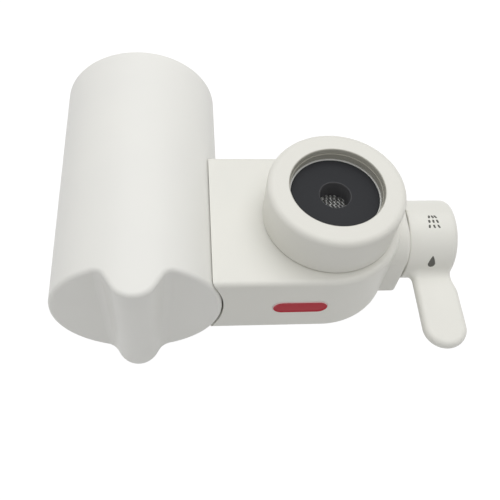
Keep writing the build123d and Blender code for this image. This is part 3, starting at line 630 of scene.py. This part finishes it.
@dataclass(frozen=True)
class Threaded(Finish):
    """Fleece or fibres: threads of a second tone, drawn out one way."""

    stretch: Point = (1.0, 1.0, 1.0)
    thread: float = 0.3
    thread_colour: Rgb = (1.0, 1.0, 1.0)

    def surface(
        self, ground: Ground, colour: bpy.types.NodeSocket
    ) -> tuple[bpy.types.NodeSocket, bpy.types.NodeSocket]:
        """Tints the threads and raises them.

        Args:
            ground: What the finish starts from.
            colour: The drifting base colour.

        Returns:
            The tinted colour and the threads' height.
        """
        threads = ground.place(Effect.STRANDS, Stretch=self.stretch, Width=self.thread * MM)
        tinted = ground.graph.blend(threads.outputs["Mask"], colour, rgba(self.thread_colour))
        return tinted, threads.outputs["Height"]


@dataclass(frozen=True)
class Granular(Finish):
    """Pressed carbon or cast resin: grains of uneven tone."""

    grain: float = 0.7
    gap_colour: Rgb = (0.0, 0.0, 0.0)

    def surface(
        self, ground: Ground, colour: bpy.types.NodeSocket
    ) -> tuple[bpy.types.NodeSocket, bpy.types.NodeSocket]:
        """Darkens the gaps between grains and raises the grains.

        Args:
            ground: What the finish starts from.
            colour: The drifting base colour.

        Returns:
            The grained colour and the grains' height.
        """
        grains = ground.place(Effect.GRANULES, Size=self.grain * MM)
        grained = ground.graph.blend(grains.outputs["Mask"], colour, rgba(self.gap_colour))
        return grained, grains.outputs["Height"]


@dataclass(frozen=True)
class Palette:
    """Every finish on the object."""

    shell: Finish = MouldedPlastic("shell_plastic", (0.795, 0.785, 0.73), (0.78, 0.775, 0.725), 0.42)
    # Painted shade: the collar's plastic is the shell's white made a little darker and warmer, standing
    # in for the shade on the collar's side.
    collar: Finish = MouldedPlastic(
        "collar_plastic_painted_shade",
        (0.765, 0.755, 0.70),
        (0.755, 0.745, 0.69),
        0.42,
        # Painted shade: the wall of the collar's mouth is painted dark grey where the rim shades it.
        painted_light_and_shade_radius=15.85,
        painted_light_and_shade_colour=(0.425, 0.415, 0.36),
    )
    cartridge: Finish = MouldedPlastic(
        "cartridge_plastic", (0.83, 0.825, 0.785), (0.815, 0.81, 0.775), 0.44
    )
    inner: Finish = MouldedPlastic("inner_plastic", (0.72, 0.72, 0.69), (0.69, 0.69, 0.67), 0.5)
    spool: Finish = MouldedPlastic("spool_plastic", (0.58, 0.61, 0.65), (0.55, 0.58, 0.62), 0.36)
    grey: Finish = MouldedPlastic("spray_plastic", (0.30, 0.30, 0.295), (0.28, 0.28, 0.28), 0.45)
    rubber: Finish = MouldedPlastic(
        "ring_rubber", (0.028, 0.028, 0.031), (0.038, 0.038, 0.040), 0.62, grain=0.1
    )
    packing: Finish = RingMarked(
        "packing_rubber",
        (0.022, 0.023, 0.026),
        (0.026, 0.027, 0.030),
        0.6,
        specular=0.15,
        pitch=0.9,
        # Painted light: the wall of the packing's hole is painted a lighter grey than the black rubber.
        painted_light_and_shade_radius=5.45,
        painted_light_and_shade_colour=(0.115, 0.115, 0.12),
    )
    steel: Finish = RingMarked(
        "turned_steel", (0.60, 0.60, 0.59), (0.55, 0.55, 0.54), 0.3, metallic=1.0, relief=0.004
    )
    wire: Finish = RingMarked(
        "strainer_wire", (0.43, 0.43, 0.42), (0.34, 0.34, 0.33), 0.3, metallic=1.0, relief=0.002
    )
    enamel: Finish = MouldedPlastic(
        "badge_enamel", (0.47, 0.013, 0.031), (0.44, 0.011, 0.028), 0.4, specular=0.14, relief=0.004
    )
    badge_rim: Finish = MouldedPlastic(
        "badge_rim", (0.86, 0.66, 0.66), (0.83, 0.63, 0.63), 0.35, relief=0.004
    )
    print_ink: Finish = MouldedPlastic(
        "print_ink", (0.115, 0.115, 0.100), (0.10, 0.10, 0.088), 0.5, relief=0.004
    )
    carbon: Finish = Granular(
        "pressed_carbon", (0.030, 0.030, 0.031), (0.05, 0.05, 0.05), 0.8, relief=0.2
    )
    fleece: Finish = Threaded(
        "fleece_threads",
        (0.78, 0.78, 0.75),
        (0.72, 0.72, 0.70),
        0.85,
        relief=0.08,
        stretch=(1.0, 0.25, 1.0),
        thread_colour=(0.88, 0.88, 0.86),
    )
    fibres: Finish = Threaded(
        "hollow_fibres",
        (0.70, 0.70, 0.66),
        (0.66, 0.66, 0.62),
        0.5,
        relief=0.25,
        stretch=(1.0, 0.04, 1.0),
        thread=0.45,
        thread_colour=(0.88, 0.88, 0.85),
    )
    resin: Finish = Granular(
        "cast_resin", (0.62, 0.50, 0.27), (0.58, 0.46, 0.24), 0.3, relief=0.02, gap_colour=(0.5, 0.4, 0.2)
    )


class FinishShop:
    """Makes each finish once and puts it on nodes and pieces."""

    def __init__(self, nodes: dict[str, bpy.types.Object]) -> None:
        """Keeps the frame's nodes.

        Args:
            nodes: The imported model's objects by name.
        """
        self._nodes = nodes
        self._effects = EffectLibrary()
        self._made: dict[str, bpy.types.Material] = {}

    def material(self, finish: Finish) -> bpy.types.Material:
        """Returns a finish's material and builds it on first use.

        Args:
            finish: The finish.

        Returns:
            The material.
        """
        if finish.name not in self._made:
            self._made[finish.name] = finish.build(self._effects)
        return self._made[finish.name]

    def dress(self, finish: Finish, *names: str) -> None:
        """Puts a finish on frame nodes.

        Args:
            finish: The finish.
            *names: The nodes.
        """
        material = self.material(finish)
        for name in names:
            mesh = self._nodes[name].data
            mesh.materials.clear()
            mesh.materials.append(material)
            LOG.info("dressed %s in %s", name, finish.name)


# Meshes


def node_box(name: str) -> tuple[Vector, Vector]:
    """Returns a node's lowest and highest corners at rest, in millimetres."""
    low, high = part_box(name)
    return Vector(low) / MM, Vector(high) / MM


@dataclass
class MeshSketch:
    """Collects points and faces in millimetres and makes a piece of them."""

    points: list[Point] = field(default_factory=list)
    faces: list[tuple[int, ...]] = field(default_factory=list)
    materials: list[int] = field(default_factory=list)

    def loop(self, points: list[Point]) -> list[int]:
        """Adds a row of points.

        Args:
            points: The points.

        Returns:
            Their numbers.
        """
        start = len(self.points)
        self.points.extend(points)
        return list(range(start, len(self.points)))

    def face(self, corners: tuple[int, ...], material: int = 0) -> None:
        """Adds one face.

        Args:
            corners: Its points' numbers.
            material: The number of its material.
        """
        self.faces.append(corners)
        self.materials.append(material)

    def bridge(
        self, first: list[int], second: list[int], closed: bool = True, material: int = 0
    ) -> None:
        """Joins two rows of points by a strip of faces.

        Args:
            first: One row.
            second: The next row, with as many points.
            closed: Whether the last point joins the first.
            material: The number of the strip's material.
        """
        count = len(first)
        for index in range(count if closed else count - 1):
            after = (index + 1) % count
            self.face((first[index], first[after], second[after], second[index]), material)

    def tube(self, path: list[Vector], radius: float, sides: int) -> None:
        """Adds a wire of round section along a path near one plane.

        Args:
            path: Its middle line.
            radius: Its radius.
            sides: Corners of its section.
        """
        upright = Vector((0.0, 0.0, 1.0))
        previous: list[int] = []
        for index, spot in enumerate(path):
            ahead = path[min(index + 1, len(path) - 1)] - path[max(index - 1, 0)]
            side = ahead.cross(upright).normalized()
            lift = side.cross(ahead).normalized()
            ring = []
            for corner in range(sides):
                angle = 2 * pi * corner / sides
                ring.append(tuple(spot + radius * (cos(angle) * side + sin(angle) * lift)))
            current = self.loop(ring)
            if previous:
                self.bridge(current, previous)
            else:
                self.face(tuple(current))
            previous = current
        self.face(tuple(reversed(previous)))

    def slab(self, outer_rows: list[list[Point]], inner_rows: list[list[Point]]) -> None:
        """Adds a thin closed patch between two grids, whose rows run upwards.

        Args:
            outer_rows: The outer grid's rows, each from left to right.
            inner_rows: The inner grid's rows, with as many points.
        """
        outer = [self.loop(row) for row in outer_rows]
        inner = [self.loop(row) for row in inner_rows]
        for lower, upper in zip(outer, outer[1:]):
            self.bridge(lower, upper, closed=False)
        for lower, upper in zip(inner, inner[1:]):
            self.bridge(upper, lower, closed=False)
        rims = []
        for grid in (inner, outer):
            right = [row[-1] for row in grid[1:-1]]
            left = [row[0] for row in grid[1:-1]]
            rims.append(grid[0] + right + grid[-1][::-1] + left[::-1])
        self.bridge(rims[0], rims[1])

    def piece(self, name: str, *materials: bpy.types.Material) -> bpy.types.Object:
        """Makes the piece in the scene, shaded smooth.

        Args:
            name: Its name.
            *materials: Its materials in order.

        Returns:
            The new object.
        """
        mesh = bpy.data.meshes.new(name)
        scaled = [tuple(value * MM for value in point) for point in self.points]
        mesh.from_pydata(scaled, [], self.faces)
        for material in materials:
            mesh.materials.append(material)
        mesh.polygons.foreach_set("material_index", self.materials)
        mesh.polygons.foreach_set("use_smooth", [True] * len(self.faces))
        mesh.update()
        piece = bpy.data.objects.new(name, mesh)
        bpy.context.scene.collection.objects.link(piece)
        return piece


# Sub-assemblies


@dataclass
class Collar:
    """The collar nut with the packing and the strainer below it."""

    wire_radius: float = 0.2
    wire_pitch: float = 1.02
    wire_sides: int = 6
    weave_rim: float = 0.05
    weave_height: float = 0.1
    weave_turn: float = 38.0

    def build(self, shop: FinishShop, palette: Palette) -> None:
        """Dresses the collar's nodes and weaves the strainer.

        Args:
            shop: Makes and places finishes.
            palette: The finishes.
        """
        shop.dress(palette.collar, "collar_nut")
        shop.dress(palette.packing, "inlet_gasket")
        shop.dress(palette.steel, "strainer_ring")
        weave = self.weave(shop.material(palette.wire))
        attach(weave, Body.HOUSING.value)
        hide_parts("strainer_mesh")
        LOG.info("wove the strainer: %d faces", len(weave.data.polygons))

    def weave(self, wire: bpy.types.Material) -> bpy.types.Object:
        """Weaves two sets of wires, each over and under the other.

        Args:
            wire: The wires' material.

        Returns:
            The woven disc.
        """
        low, high = node_box("strainer_mesh")
        middle_z = (low.z + high.z) / 2
        reach = high.x - self.weave_rim
        sketch = MeshSketch()
        count = int(reach / self.wire_pitch)
        for direction in (0, 1):
            turn = radians(self.weave_turn) + direction * pi / 2
            along = Vector((cos(turn), sin(turn), 0.0))
            across = Vector((-along.y, along.x, 0.0))
            for wire_index in range(-count, count + 1):
                offset = wire_index * self.wire_pitch
                half = sqrt(reach**2 - offset**2)
                steps = int(half / self.wire_pitch)
                path = []
                for half_step in range(-2 * steps, 2 * steps + 1):
                    wave = cos(pi * (half_step / 2 + wire_index + direction))
                    spot = across * offset + along * (half_step * self.wire_pitch / 2)
                    spot.z = middle_z + self.weave_height * wave
                    path.append(spot)
                if len(path) > 1:
                    sketch.tube(path, self.wire_radius, self.wire_sides)
        return sketch.piece("woven_strainer", wire)


@dataclass
class BodyBlock:
    """The body with its cover, valve, badge and outlets."""

    badge_length: float = 18.6
    badge_end_steps: int = 24
    rim_radius: float = 0.16
    rim_steps: int = 4
    field_profile: tuple[tuple[float, float], ...] = (
        (0.26, 0.0),
        (0.34, 0.02),
        (0.42, 0.08),
        (0.55, 0.12),
        (1.3, 0.105),
        (2.0, 0.09),
        (2.8, 0.08),
    )

    def build(self, shop: FinishShop, palette: Palette) -> None:
        """Dresses the body's nodes and makes the badge.

        Args:
            shop: Makes and places finishes.
            palette: The finishes.
        """
        shop.dress(palette.shell, "main_housing", "base_cover", "outlet_nozzle", "filtered_spout")
        shop.dress(palette.inner, "valve_body", "port_manifold")
        shop.dress(palette.spool, "valve_spool")
        shop.dress(palette.grey, "spray_plate")
        shop.dress(palette.steel, "housing_screws", "retaining_clip")
        seals = ["outlet_seal", "manifold_gasket", "port_seal_raw", "port_seal_filtered"]
        seals += [f"spool_seal_{side}" for side in ("left", "middle", "right")]
        shop.dress(palette.rubber, *seals)
        badge = self.badge(shop.material(palette.badge_rim), shop.material(palette.enamel))
        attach(badge, Body.HOUSING.value)
        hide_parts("badge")
        LOG.info("made the badge")

    def pill(self, middle: Vector, end_radius: float, inset: float, y: float) -> list[Point]:
        """Outline of the pill at one depth.

        Args:
            middle: The badge's middle.
            end_radius: Radius of its two round ends.
            inset: Distance inside the badge's edge.
            y: Its station from front to back.

        Returns:
            The outline's points.
        """
        radius = end_radius - inset
        reach = self.badge_length / 2 - end_radius
        points = []
        for side, start in ((1, -90.0), (-1, 90.0)):
            for step in range(self.badge_end_steps + 1):
                angle = radians(start + 180.0 * step / self.badge_end_steps)
                x = middle.x + side * reach + radius * cos(angle)
                points.append((x, y, middle.z + radius * sin(angle)))
        return points

    def badge(self, rim: bpy.types.Material, field_enamel: bpy.types.Material) -> bpy.types.Object:
        """Makes the pill: a rounded raised rim round a sunk, slightly crowned field.

        Args:
            rim: The rim's material.
            field_enamel: The field's material.

        Returns:
            The badge.
        """
        low, high = node_box("badge")
        middle = (low + high) / 2
        end_radius = (high.z - low.z) / 2
        front = low.y
        profile = [(0.0, high.y)]
        for step in range(self.rim_steps + 1):
            angle = pi / 2 * step / self.rim_steps
            inset = self.rim_radius * (1 - cos(angle))
            profile.append((inset, front + self.rim_radius * (1 - sin(angle))))
        rim_count = len(profile)
        profile += [(inset, front + depth) for inset, depth in self.field_profile]
        sketch = MeshSketch()
        previous: list[int] = []
        for index, (inset, y) in enumerate(profile):
            current = sketch.loop(self.pill(middle, end_radius, inset, y))
            if previous:
                sketch.bridge(previous, current, material=0 if index < rim_count else 1)
            else:
                sketch.face(tuple(reversed(current)))
            previous = current
        sketch.face(tuple(previous), material=1)
        return sketch.piece("badge_plate", rim, field_enamel)


@dataclass
class Lever:
    """The lever with its cap, its screw and the two printed signs."""

    axis_z: float
    hub_radius: float
    print_lift: float = 0.02
    print_depth: float = 0.06
    dash_width: float = 0.74
    dash_rows: tuple[float, ...] = (89.6, 82.2, 74.4)
    dash_places: tuple[tuple[float, ...], ...] = (
        (35.03, 36.24, 37.25),
        (34.87, 36.31, 37.72),
        (34.75, 36.42, 38.0),
    )
    dash_slants: tuple[tuple[float, ...], ...] = (
        (-0.07, 0.21, 0.33),
        (0.04, 0.08, 0.2),
        (-0.03, 0.19, 0.28),
    )
    dash_half: float = 2.35
    dash_taper: float = 0.35
    dash_steps: int = 3
    drop_x: float = 36.1
    drop_low: float = 12.2
    drop_high: float = 31.8
    drop_width: float = 2.6
    drop_belly: float = 0.34
    drop_point: float = 0.9
    drop_hollow: float = 0.25
    drop_bulge: float = 0.12
    drop_tip: float = 0.02
    drop_steps: int = 28
    drop_columns: tuple[float, ...] = (-1.0, -0.5, 0.0, 0.5, 1.0)

    def build(self, shop: FinishShop, palette: Palette) -> None:
        """Dresses the lever's nodes and prints the signs on its hub.

        Args:
            shop: Makes and places finishes.
            palette: The finishes.
        """
        shop.dress(palette.shell, "lever", "lever_cap")
        shop.dress(palette.steel, "lever_screw")
        ink = shop.material(palette.print_ink)
        for sign in Sign:
            piece = self.print_sign(sign, ink)
            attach(piece, Body.LEVER.value)
            LOG.info("printed %s", sign.value)

    def on_hub(self, x: float, angle: float, lift: float) -> Point:
        """Point near the hub's surface.

        Args:
            x: Station along the lever's axis.
            angle: Degrees up from the front.
            lift: Height above the hub.

        Returns:
            The point.
        """
        radius = self.hub_radius + lift
        turn = radians(angle)
        return (x, -radius * cos(turn), self.axis_z + radius * sin(turn))

    def print_sign(self, sign: Sign, ink: bpy.types.Material) -> bpy.types.Object:
        """Prints one sign.

        Args:
            sign: Which sign.
            ink: The ink's material.

        Returns:
            The printed piece.
        """
        sketch = MeshSketch()
        if sign is Sign.SPRAY:
            self.add_dashes(sketch)
        else:
            self.add_drop(sketch)
        return sketch.piece(sign.value, ink)

    def add_patch(self, sketch: MeshSketch, rows: list[tuple[list[float], float]]) -> None:
        """Adds one closed patch of print, sunk a little in the hub.

        Args:
            sketch: The mesh to add to.
            rows: Stations along the axis and the angle of each row, from below upwards.
        """
        grids = []
        for lift in (self.print_lift, -self.print_depth):
            grids.append([[self.on_hub(x, angle, lift) for x in stations] for stations, angle in rows])
        sketch.slab(grids[0], grids[1])

    def add_dashes(self, sketch: MeshSketch) -> None:
        """Adds three rows of dashes that fan out downwards.

        Args:
            sketch: The mesh to add to.
        """
        for middle, places, slants in zip(self.dash_rows, self.dash_places, self.dash_slants):
            for x, slant in zip(places, slants):
                rows = []
                for step in range(2 * self.dash_steps + 1):
                    share = step / self.dash_steps - 1
                    width = self.dash_width / 2 * (1 - self.dash_taper * abs(share) ** 4)
                    spot = x - slant * share
                    rows.append(([spot - width, spot + width], middle + self.dash_half * share))
                self.add_patch(sketch, rows)

    def add_drop(self, sketch: MeshSketch) -> None:
        """Adds a filled drop with its point up.

        Args:
            sketch: The mesh to add to.
        """
        rows = []
        for step in range(self.drop_steps + 1):
            share = step / self.drop_steps
            angle = self.drop_low + (self.drop_high - self.drop_low) * share
            half = max(self.drop_width / 2 * self.drop_share(share), self.drop_tip)
            rows.append(([self.drop_x + half * side for side in self.drop_columns], angle))
        self.add_patch(sketch, rows)

    def drop_share(self, share: float) -> float:
        """Share of the drop's full width at one height.

        Args:
            share: Height in the drop, 0 at its foot and 1 at its point.

        Returns:
            The width's share.
        """
        belly = self.drop_belly
        if share < belly:
            return sqrt(max(1 - ((belly - share) / belly) ** 2, 0.0))
        fall = (share - belly) / (1 - belly)
        narrowing = (1 - fall) ** self.drop_point * (1 - self.drop_hollow * fall * (1 - fall))
        return narrowing + self.drop_bulge * sin(pi * fall)


@dataclass
class Cartridge:
    """The cartridge's case and what it holds."""

    fibre_radius: float = 0.5
    fibre_pitch: float = 1.45
    fibre_sides: int = 6
    fibre_wave: float = 0.14
    wave_across: float = 5.0
    wave_up: float = 3.0
    straight_steps: int = 5
    bend_steps: int = 8

    def build(self, shop: FinishShop, palette: Palette) -> None:
        """Dresses the cartridge's nodes and bundles the hollow fibres.

        Args:
            shop: Makes and places finishes.
            palette: The finishes.
        """
        shop.dress(palette.cartridge, "cartridge_case", "case_back_cap")
        shop.dress(palette.rubber, "back_cap_seal", "potting_seal")
        shop.dress(palette.inner, "carbon_end_plate", "filter_cage")
        shop.dress(palette.carbon, "carbon_sleeve")
        shop.dress(palette.fleece, "fleece_wrap")
        shop.dress(palette.fibres, "fibre_bundle")
        shop.dress(palette.resin, "potting_disc")
        fibres = self.fibre_loops(shop.material(palette.fibres))
        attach(fibres, Body.CARTRIDGE.value)
        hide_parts("fibre_bundle")
        LOG.info("bundled the fibres: %d faces", len(fibres.data.polygons))

    def fibre_loops(self, material: bpy.types.Material) -> bpy.types.Object:
        """Bends each fibre over at the far end, one loop inside the next.

        Args:
            material: The fibres' material.

        Returns:
            The bundle.
        """
        low, high = node_box("fibre_bundle")
        axis = (low + high) / 2
        reach = (high.x - low.x) / 2 - self.fibre_radius - self.fibre_wave
        bend_start = high.y - reach - self.fibre_radius
        sketch = MeshSketch()
        row_step = self.fibre_pitch * sqrt(3) / 2
        rows = int(reach / row_step)
        for row in range(-rows, rows + 1):
            height = row * row_step
            offset = self.fibre_pitch / 2 if row % 2 else self.fibre_pitch
            while offset**2 + height**2 < reach**2:
                path = self.loop_path(axis.x, offset, axis.z + height, low.y, bend_start)
                sketch.tube(path, self.fibre_radius, self.fibre_sides)
                offset += self.fibre_pitch
        return sketch.piece("hollow_fibres", material)

    def loop_path(
        self, middle: float, offset: float, level: float, start: float, end: float
    ) -> list[Vector]:
        """Middle line of one fibre: out, over in a half circle and back.

        Args:
            middle: The bundle's axis, from left to right.
            offset: The fibre's distance from it.
            level: The fibre's height.
            start: Station where it leaves the resin.
            end: Station where its bend starts.

        Returns:
            The line's points.
        """
        leg = []
        for step in range(self.straight_steps + 1):
            share = step / self.straight_steps
            phase = self.wave_across * offset + self.wave_up * level
            sway = self.fibre_wave * sin(pi * share) * sin(phase)
            leg.append((offset + sway, start + (end - start) * share))
        bend = []
        for step in range(1, self.bend_steps):
            angle = pi * step / self.bend_steps
            bend.append((offset * cos(angle), end + offset * sin(angle)))
        back = [(-x, y) for x, y in reversed(leg)]
        return [Vector((middle + x, y, level)) for x, y in leg + bend + back]


# Studio


@dataclass
class Studio:
    """Floor, light and camera."""

    floor_z: float = -66.5
    floor_size: float = 6.0
    floor_tone: float = 0.63
    seen_floor_tone: float = 0.9
    seen_floor_glow: float = 1.1
    seen_glow_share: float = 0.9
    sky: float = 0.165
    wall_glow: float = 0.5
    wall_top: float = 0.12
    wall_fade: float = 0.36
    side_gain: float = 1.5
    left_gain: float = 0.25
    front_glow: float = 0.43
    lamp_place: Point = (0.03, 0.22, 0.73)
    lamp_size: float = 0.85
    lamp_power: float = 5.0
    eye: Point = (-49.66, -134.104, 175.144)
    yaw: float = 10.28
    pitch: float = 56.75
    roll: float = 7.96
    focal_share: float = 690.69 / 500.0
    sensor: float = 36.0
    near_clip: float = 0.01

    def build(self) -> None:
        """Sets the floor, the sky, the lamp and the camera."""
        self.view()
        self.floor()
        self.light_sky()
        self.lamp()

    def view(self) -> None:
        """Places the camera, which looks steeply down on the object's front."""
        yaw, pitch, roll = radians(self.yaw), radians(self.pitch), radians(self.roll)
        ahead = Vector((sin(yaw) * cos(pitch), cos(yaw) * cos(pitch), -sin(pitch)))
        level = Vector((cos(yaw), -sin(yaw), 0.0))
        upright = level.cross(ahead)
        right = cos(roll) * level + sin(roll) * upright
        up = -sin(roll) * level + cos(roll) * upright
        data = bpy.data.cameras.new("studio_camera")
        data.sensor_width = self.sensor
        data.lens = self.sensor * self.focal_share
        data.clip_start = self.near_clip
        camera = bpy.data.objects.new("studio_camera", data)
        turn = Matrix((right, up, -ahead)).transposed().to_4x4()
        camera.matrix_world = Matrix.Translation(Vector(self.eye) * MM) @ turn
        bpy.context.scene.collection.objects.link(camera)
        bpy.context.scene.camera = camera

    @staticmethod
    def seen_share(graph: Graph) -> bpy.types.NodeSocket:
        """Share of rays that see the background as plain white.

        Args:
            graph: The graph to work in.

        Returns:
            1 for camera, glossy and transmission rays, and 0 for the rest.
        """
        rays = graph.add("ShaderNodeLightPath").outputs
        either = graph.math("MAXIMUM", rays["Is Camera Ray"], rays["Is Glossy Ray"])
        return graph.math("MAXIMUM", either, rays["Is Transmission Ray"])

    @staticmethod
    def mixed(
        graph: Graph, share: object, first: bpy.types.Node, second: bpy.types.Node
    ) -> bpy.types.Node:
        """Mixes two shaders.

        Args:
            graph: The graph to work in.
            share: Share of the second shader.
            first: Shader at share 0.
            second: Shader at share 1.

        Returns:
            The mix node.
        """
        return graph.add("ShaderNodeMixShader", {0: share, 1: first.outputs[0], 2: second.outputs[0]})

    def floor(self) -> None:
        """Makes the pale floor, which looks white and keeps the object's shadow."""
        half = self.floor_size / 2
        height = self.floor_z * MM
        mesh = bpy.data.meshes.new("studio_floor")
        corners = [(-half, -half, height), (half, -half, height), (half, half, height)]
        mesh.from_pydata([*corners, (-half, half, height)], [], [(0, 1, 2, 3)])
        material = bpy.data.materials.new("studio_floor")
        material.use_nodes = True
        tree = material.node_tree
        graph = Graph(tree)
        tree.nodes.remove(tree.nodes["Principled BSDF"])
        lit = graph.add("ShaderNodeBsdfDiffuse", {"Color": rgba((self.floor_tone,) * 3)})
        pale = graph.add("ShaderNodeBsdfDiffuse", {"Color": rgba((self.seen_floor_tone,) * 3)})
        glow = graph.add("ShaderNodeEmission", {"Strength": self.seen_floor_glow})
        seen = self.mixed(graph, self.seen_glow_share, pale, glow)
        whole = self.mixed(graph, self.seen_share(graph), lit, seen)
        behind = graph.add("ShaderNodeNewGeometry").outputs["Backfacing"]
        final = self.mixed(graph, behind, whole, graph.add("ShaderNodeBsdfTransparent"))
        graph.feed(tree.nodes["Material Output"].inputs["Surface"], final.outputs[0])
        mesh.materials.append(material)
        floor = bpy.data.objects.new("studio_floor", mesh)
        bpy.context.scene.collection.objects.link(floor)

    def light_sky(self) -> None:
        """Gives the world its soft light, seen as plain white.

        A low bright wall stands all round, brighter at the sides and most of all on the left,
        below a dim sky, and a soft glow lies halfway up in front.
        """
        world = bpy.data.worlds.new("studio_sky")
        world.use_nodes = True
        graph = Graph(world.node_tree)
        direction = graph.add("ShaderNodeTexCoord").outputs["Generated"]
        parts = graph.add("ShaderNodeSeparateXYZ", {0: direction}).outputs
        sideways = graph.math("MULTIPLY", parts["X"], parts["X"])
        leftward = graph.math("MULTIPLY_ADD", parts["X"], -self.left_gain, 1.0)
        gain = graph.math("MULTIPLY_ADD", sideways, self.side_gain, leftward)
        facing = graph.math("MULTIPLY", parts["Y"], parts["Z"])
        rising = graph.math("MULTIPLY", facing, -2.0 * self.front_glow)
        front = graph.math("MAXIMUM", rising, 0.0)
        fade = {0: parts["Z"], 1: self.wall_top, 2: self.wall_fade, 3: self.wall_glow, 4: self.sky}
        wall = graph.add("ShaderNodeMapRange", fade, interpolation_type="SMOOTHSTEP").outputs[0]
        light = graph.math("MULTIPLY_ADD", wall, gain, front)
        background = world.node_tree.nodes["Background"]
        background.inputs["Color"].default_value = rgba(WHITE)
        graph.feed(background.inputs["Strength"], graph.math("MAXIMUM", light, self.seen_share(graph)))
        bpy.context.scene.world = world

    def lamp(self) -> None:
        """Hangs one broad soft lamp above the object."""
        data = bpy.data.lights.new("overhead_lamp", "AREA")
        data.shape = "SQUARE"
        data.size = self.lamp_size
        data.energy = self.lamp_power
        lamp = bpy.data.objects.new("overhead_lamp", data)
        lamp.location = self.lamp_place
        lamp.rotation_euler = Vector(self.lamp_place).to_track_quat("Z", "Y").to_euler()
        bpy.context.scene.collection.objects.link(lamp)


def joint_height(frame: dict, name: str) -> float:
    """Returns the height of a joint's axis, in millimetres.

    Args:
        frame: The loaded frame.
        name: The joint's name.

    Returns:
        The height.
    """
    joint = next(joint for joint in frame["joints"] if joint["name"] == name)
    return joint["pos_m"][2] / MM


def main() -> None:
    """Loads the frame, dresses it, adds the pieces and sets the studio."""
    logging.basicConfig(level=logging.INFO, format="%(name)s: %(message)s")
    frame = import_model()
    bpy.context.scene.view_settings.view_transform = "Standard"
    Studio().build()
    shop = FinishShop(frame["nodes"])
    palette = Palette()
    lever = Lever(axis_z=joint_height(frame, "lever_turn"), hub_radius=node_box("lever")[1].y)
    for assembly in (Collar(), BodyBlock(), lever, Cartridge()):
        assembly.build(shop, palette)
        LOG.info("built %s", type(assembly).__name__)


if __name__ == "__main__":
    main()
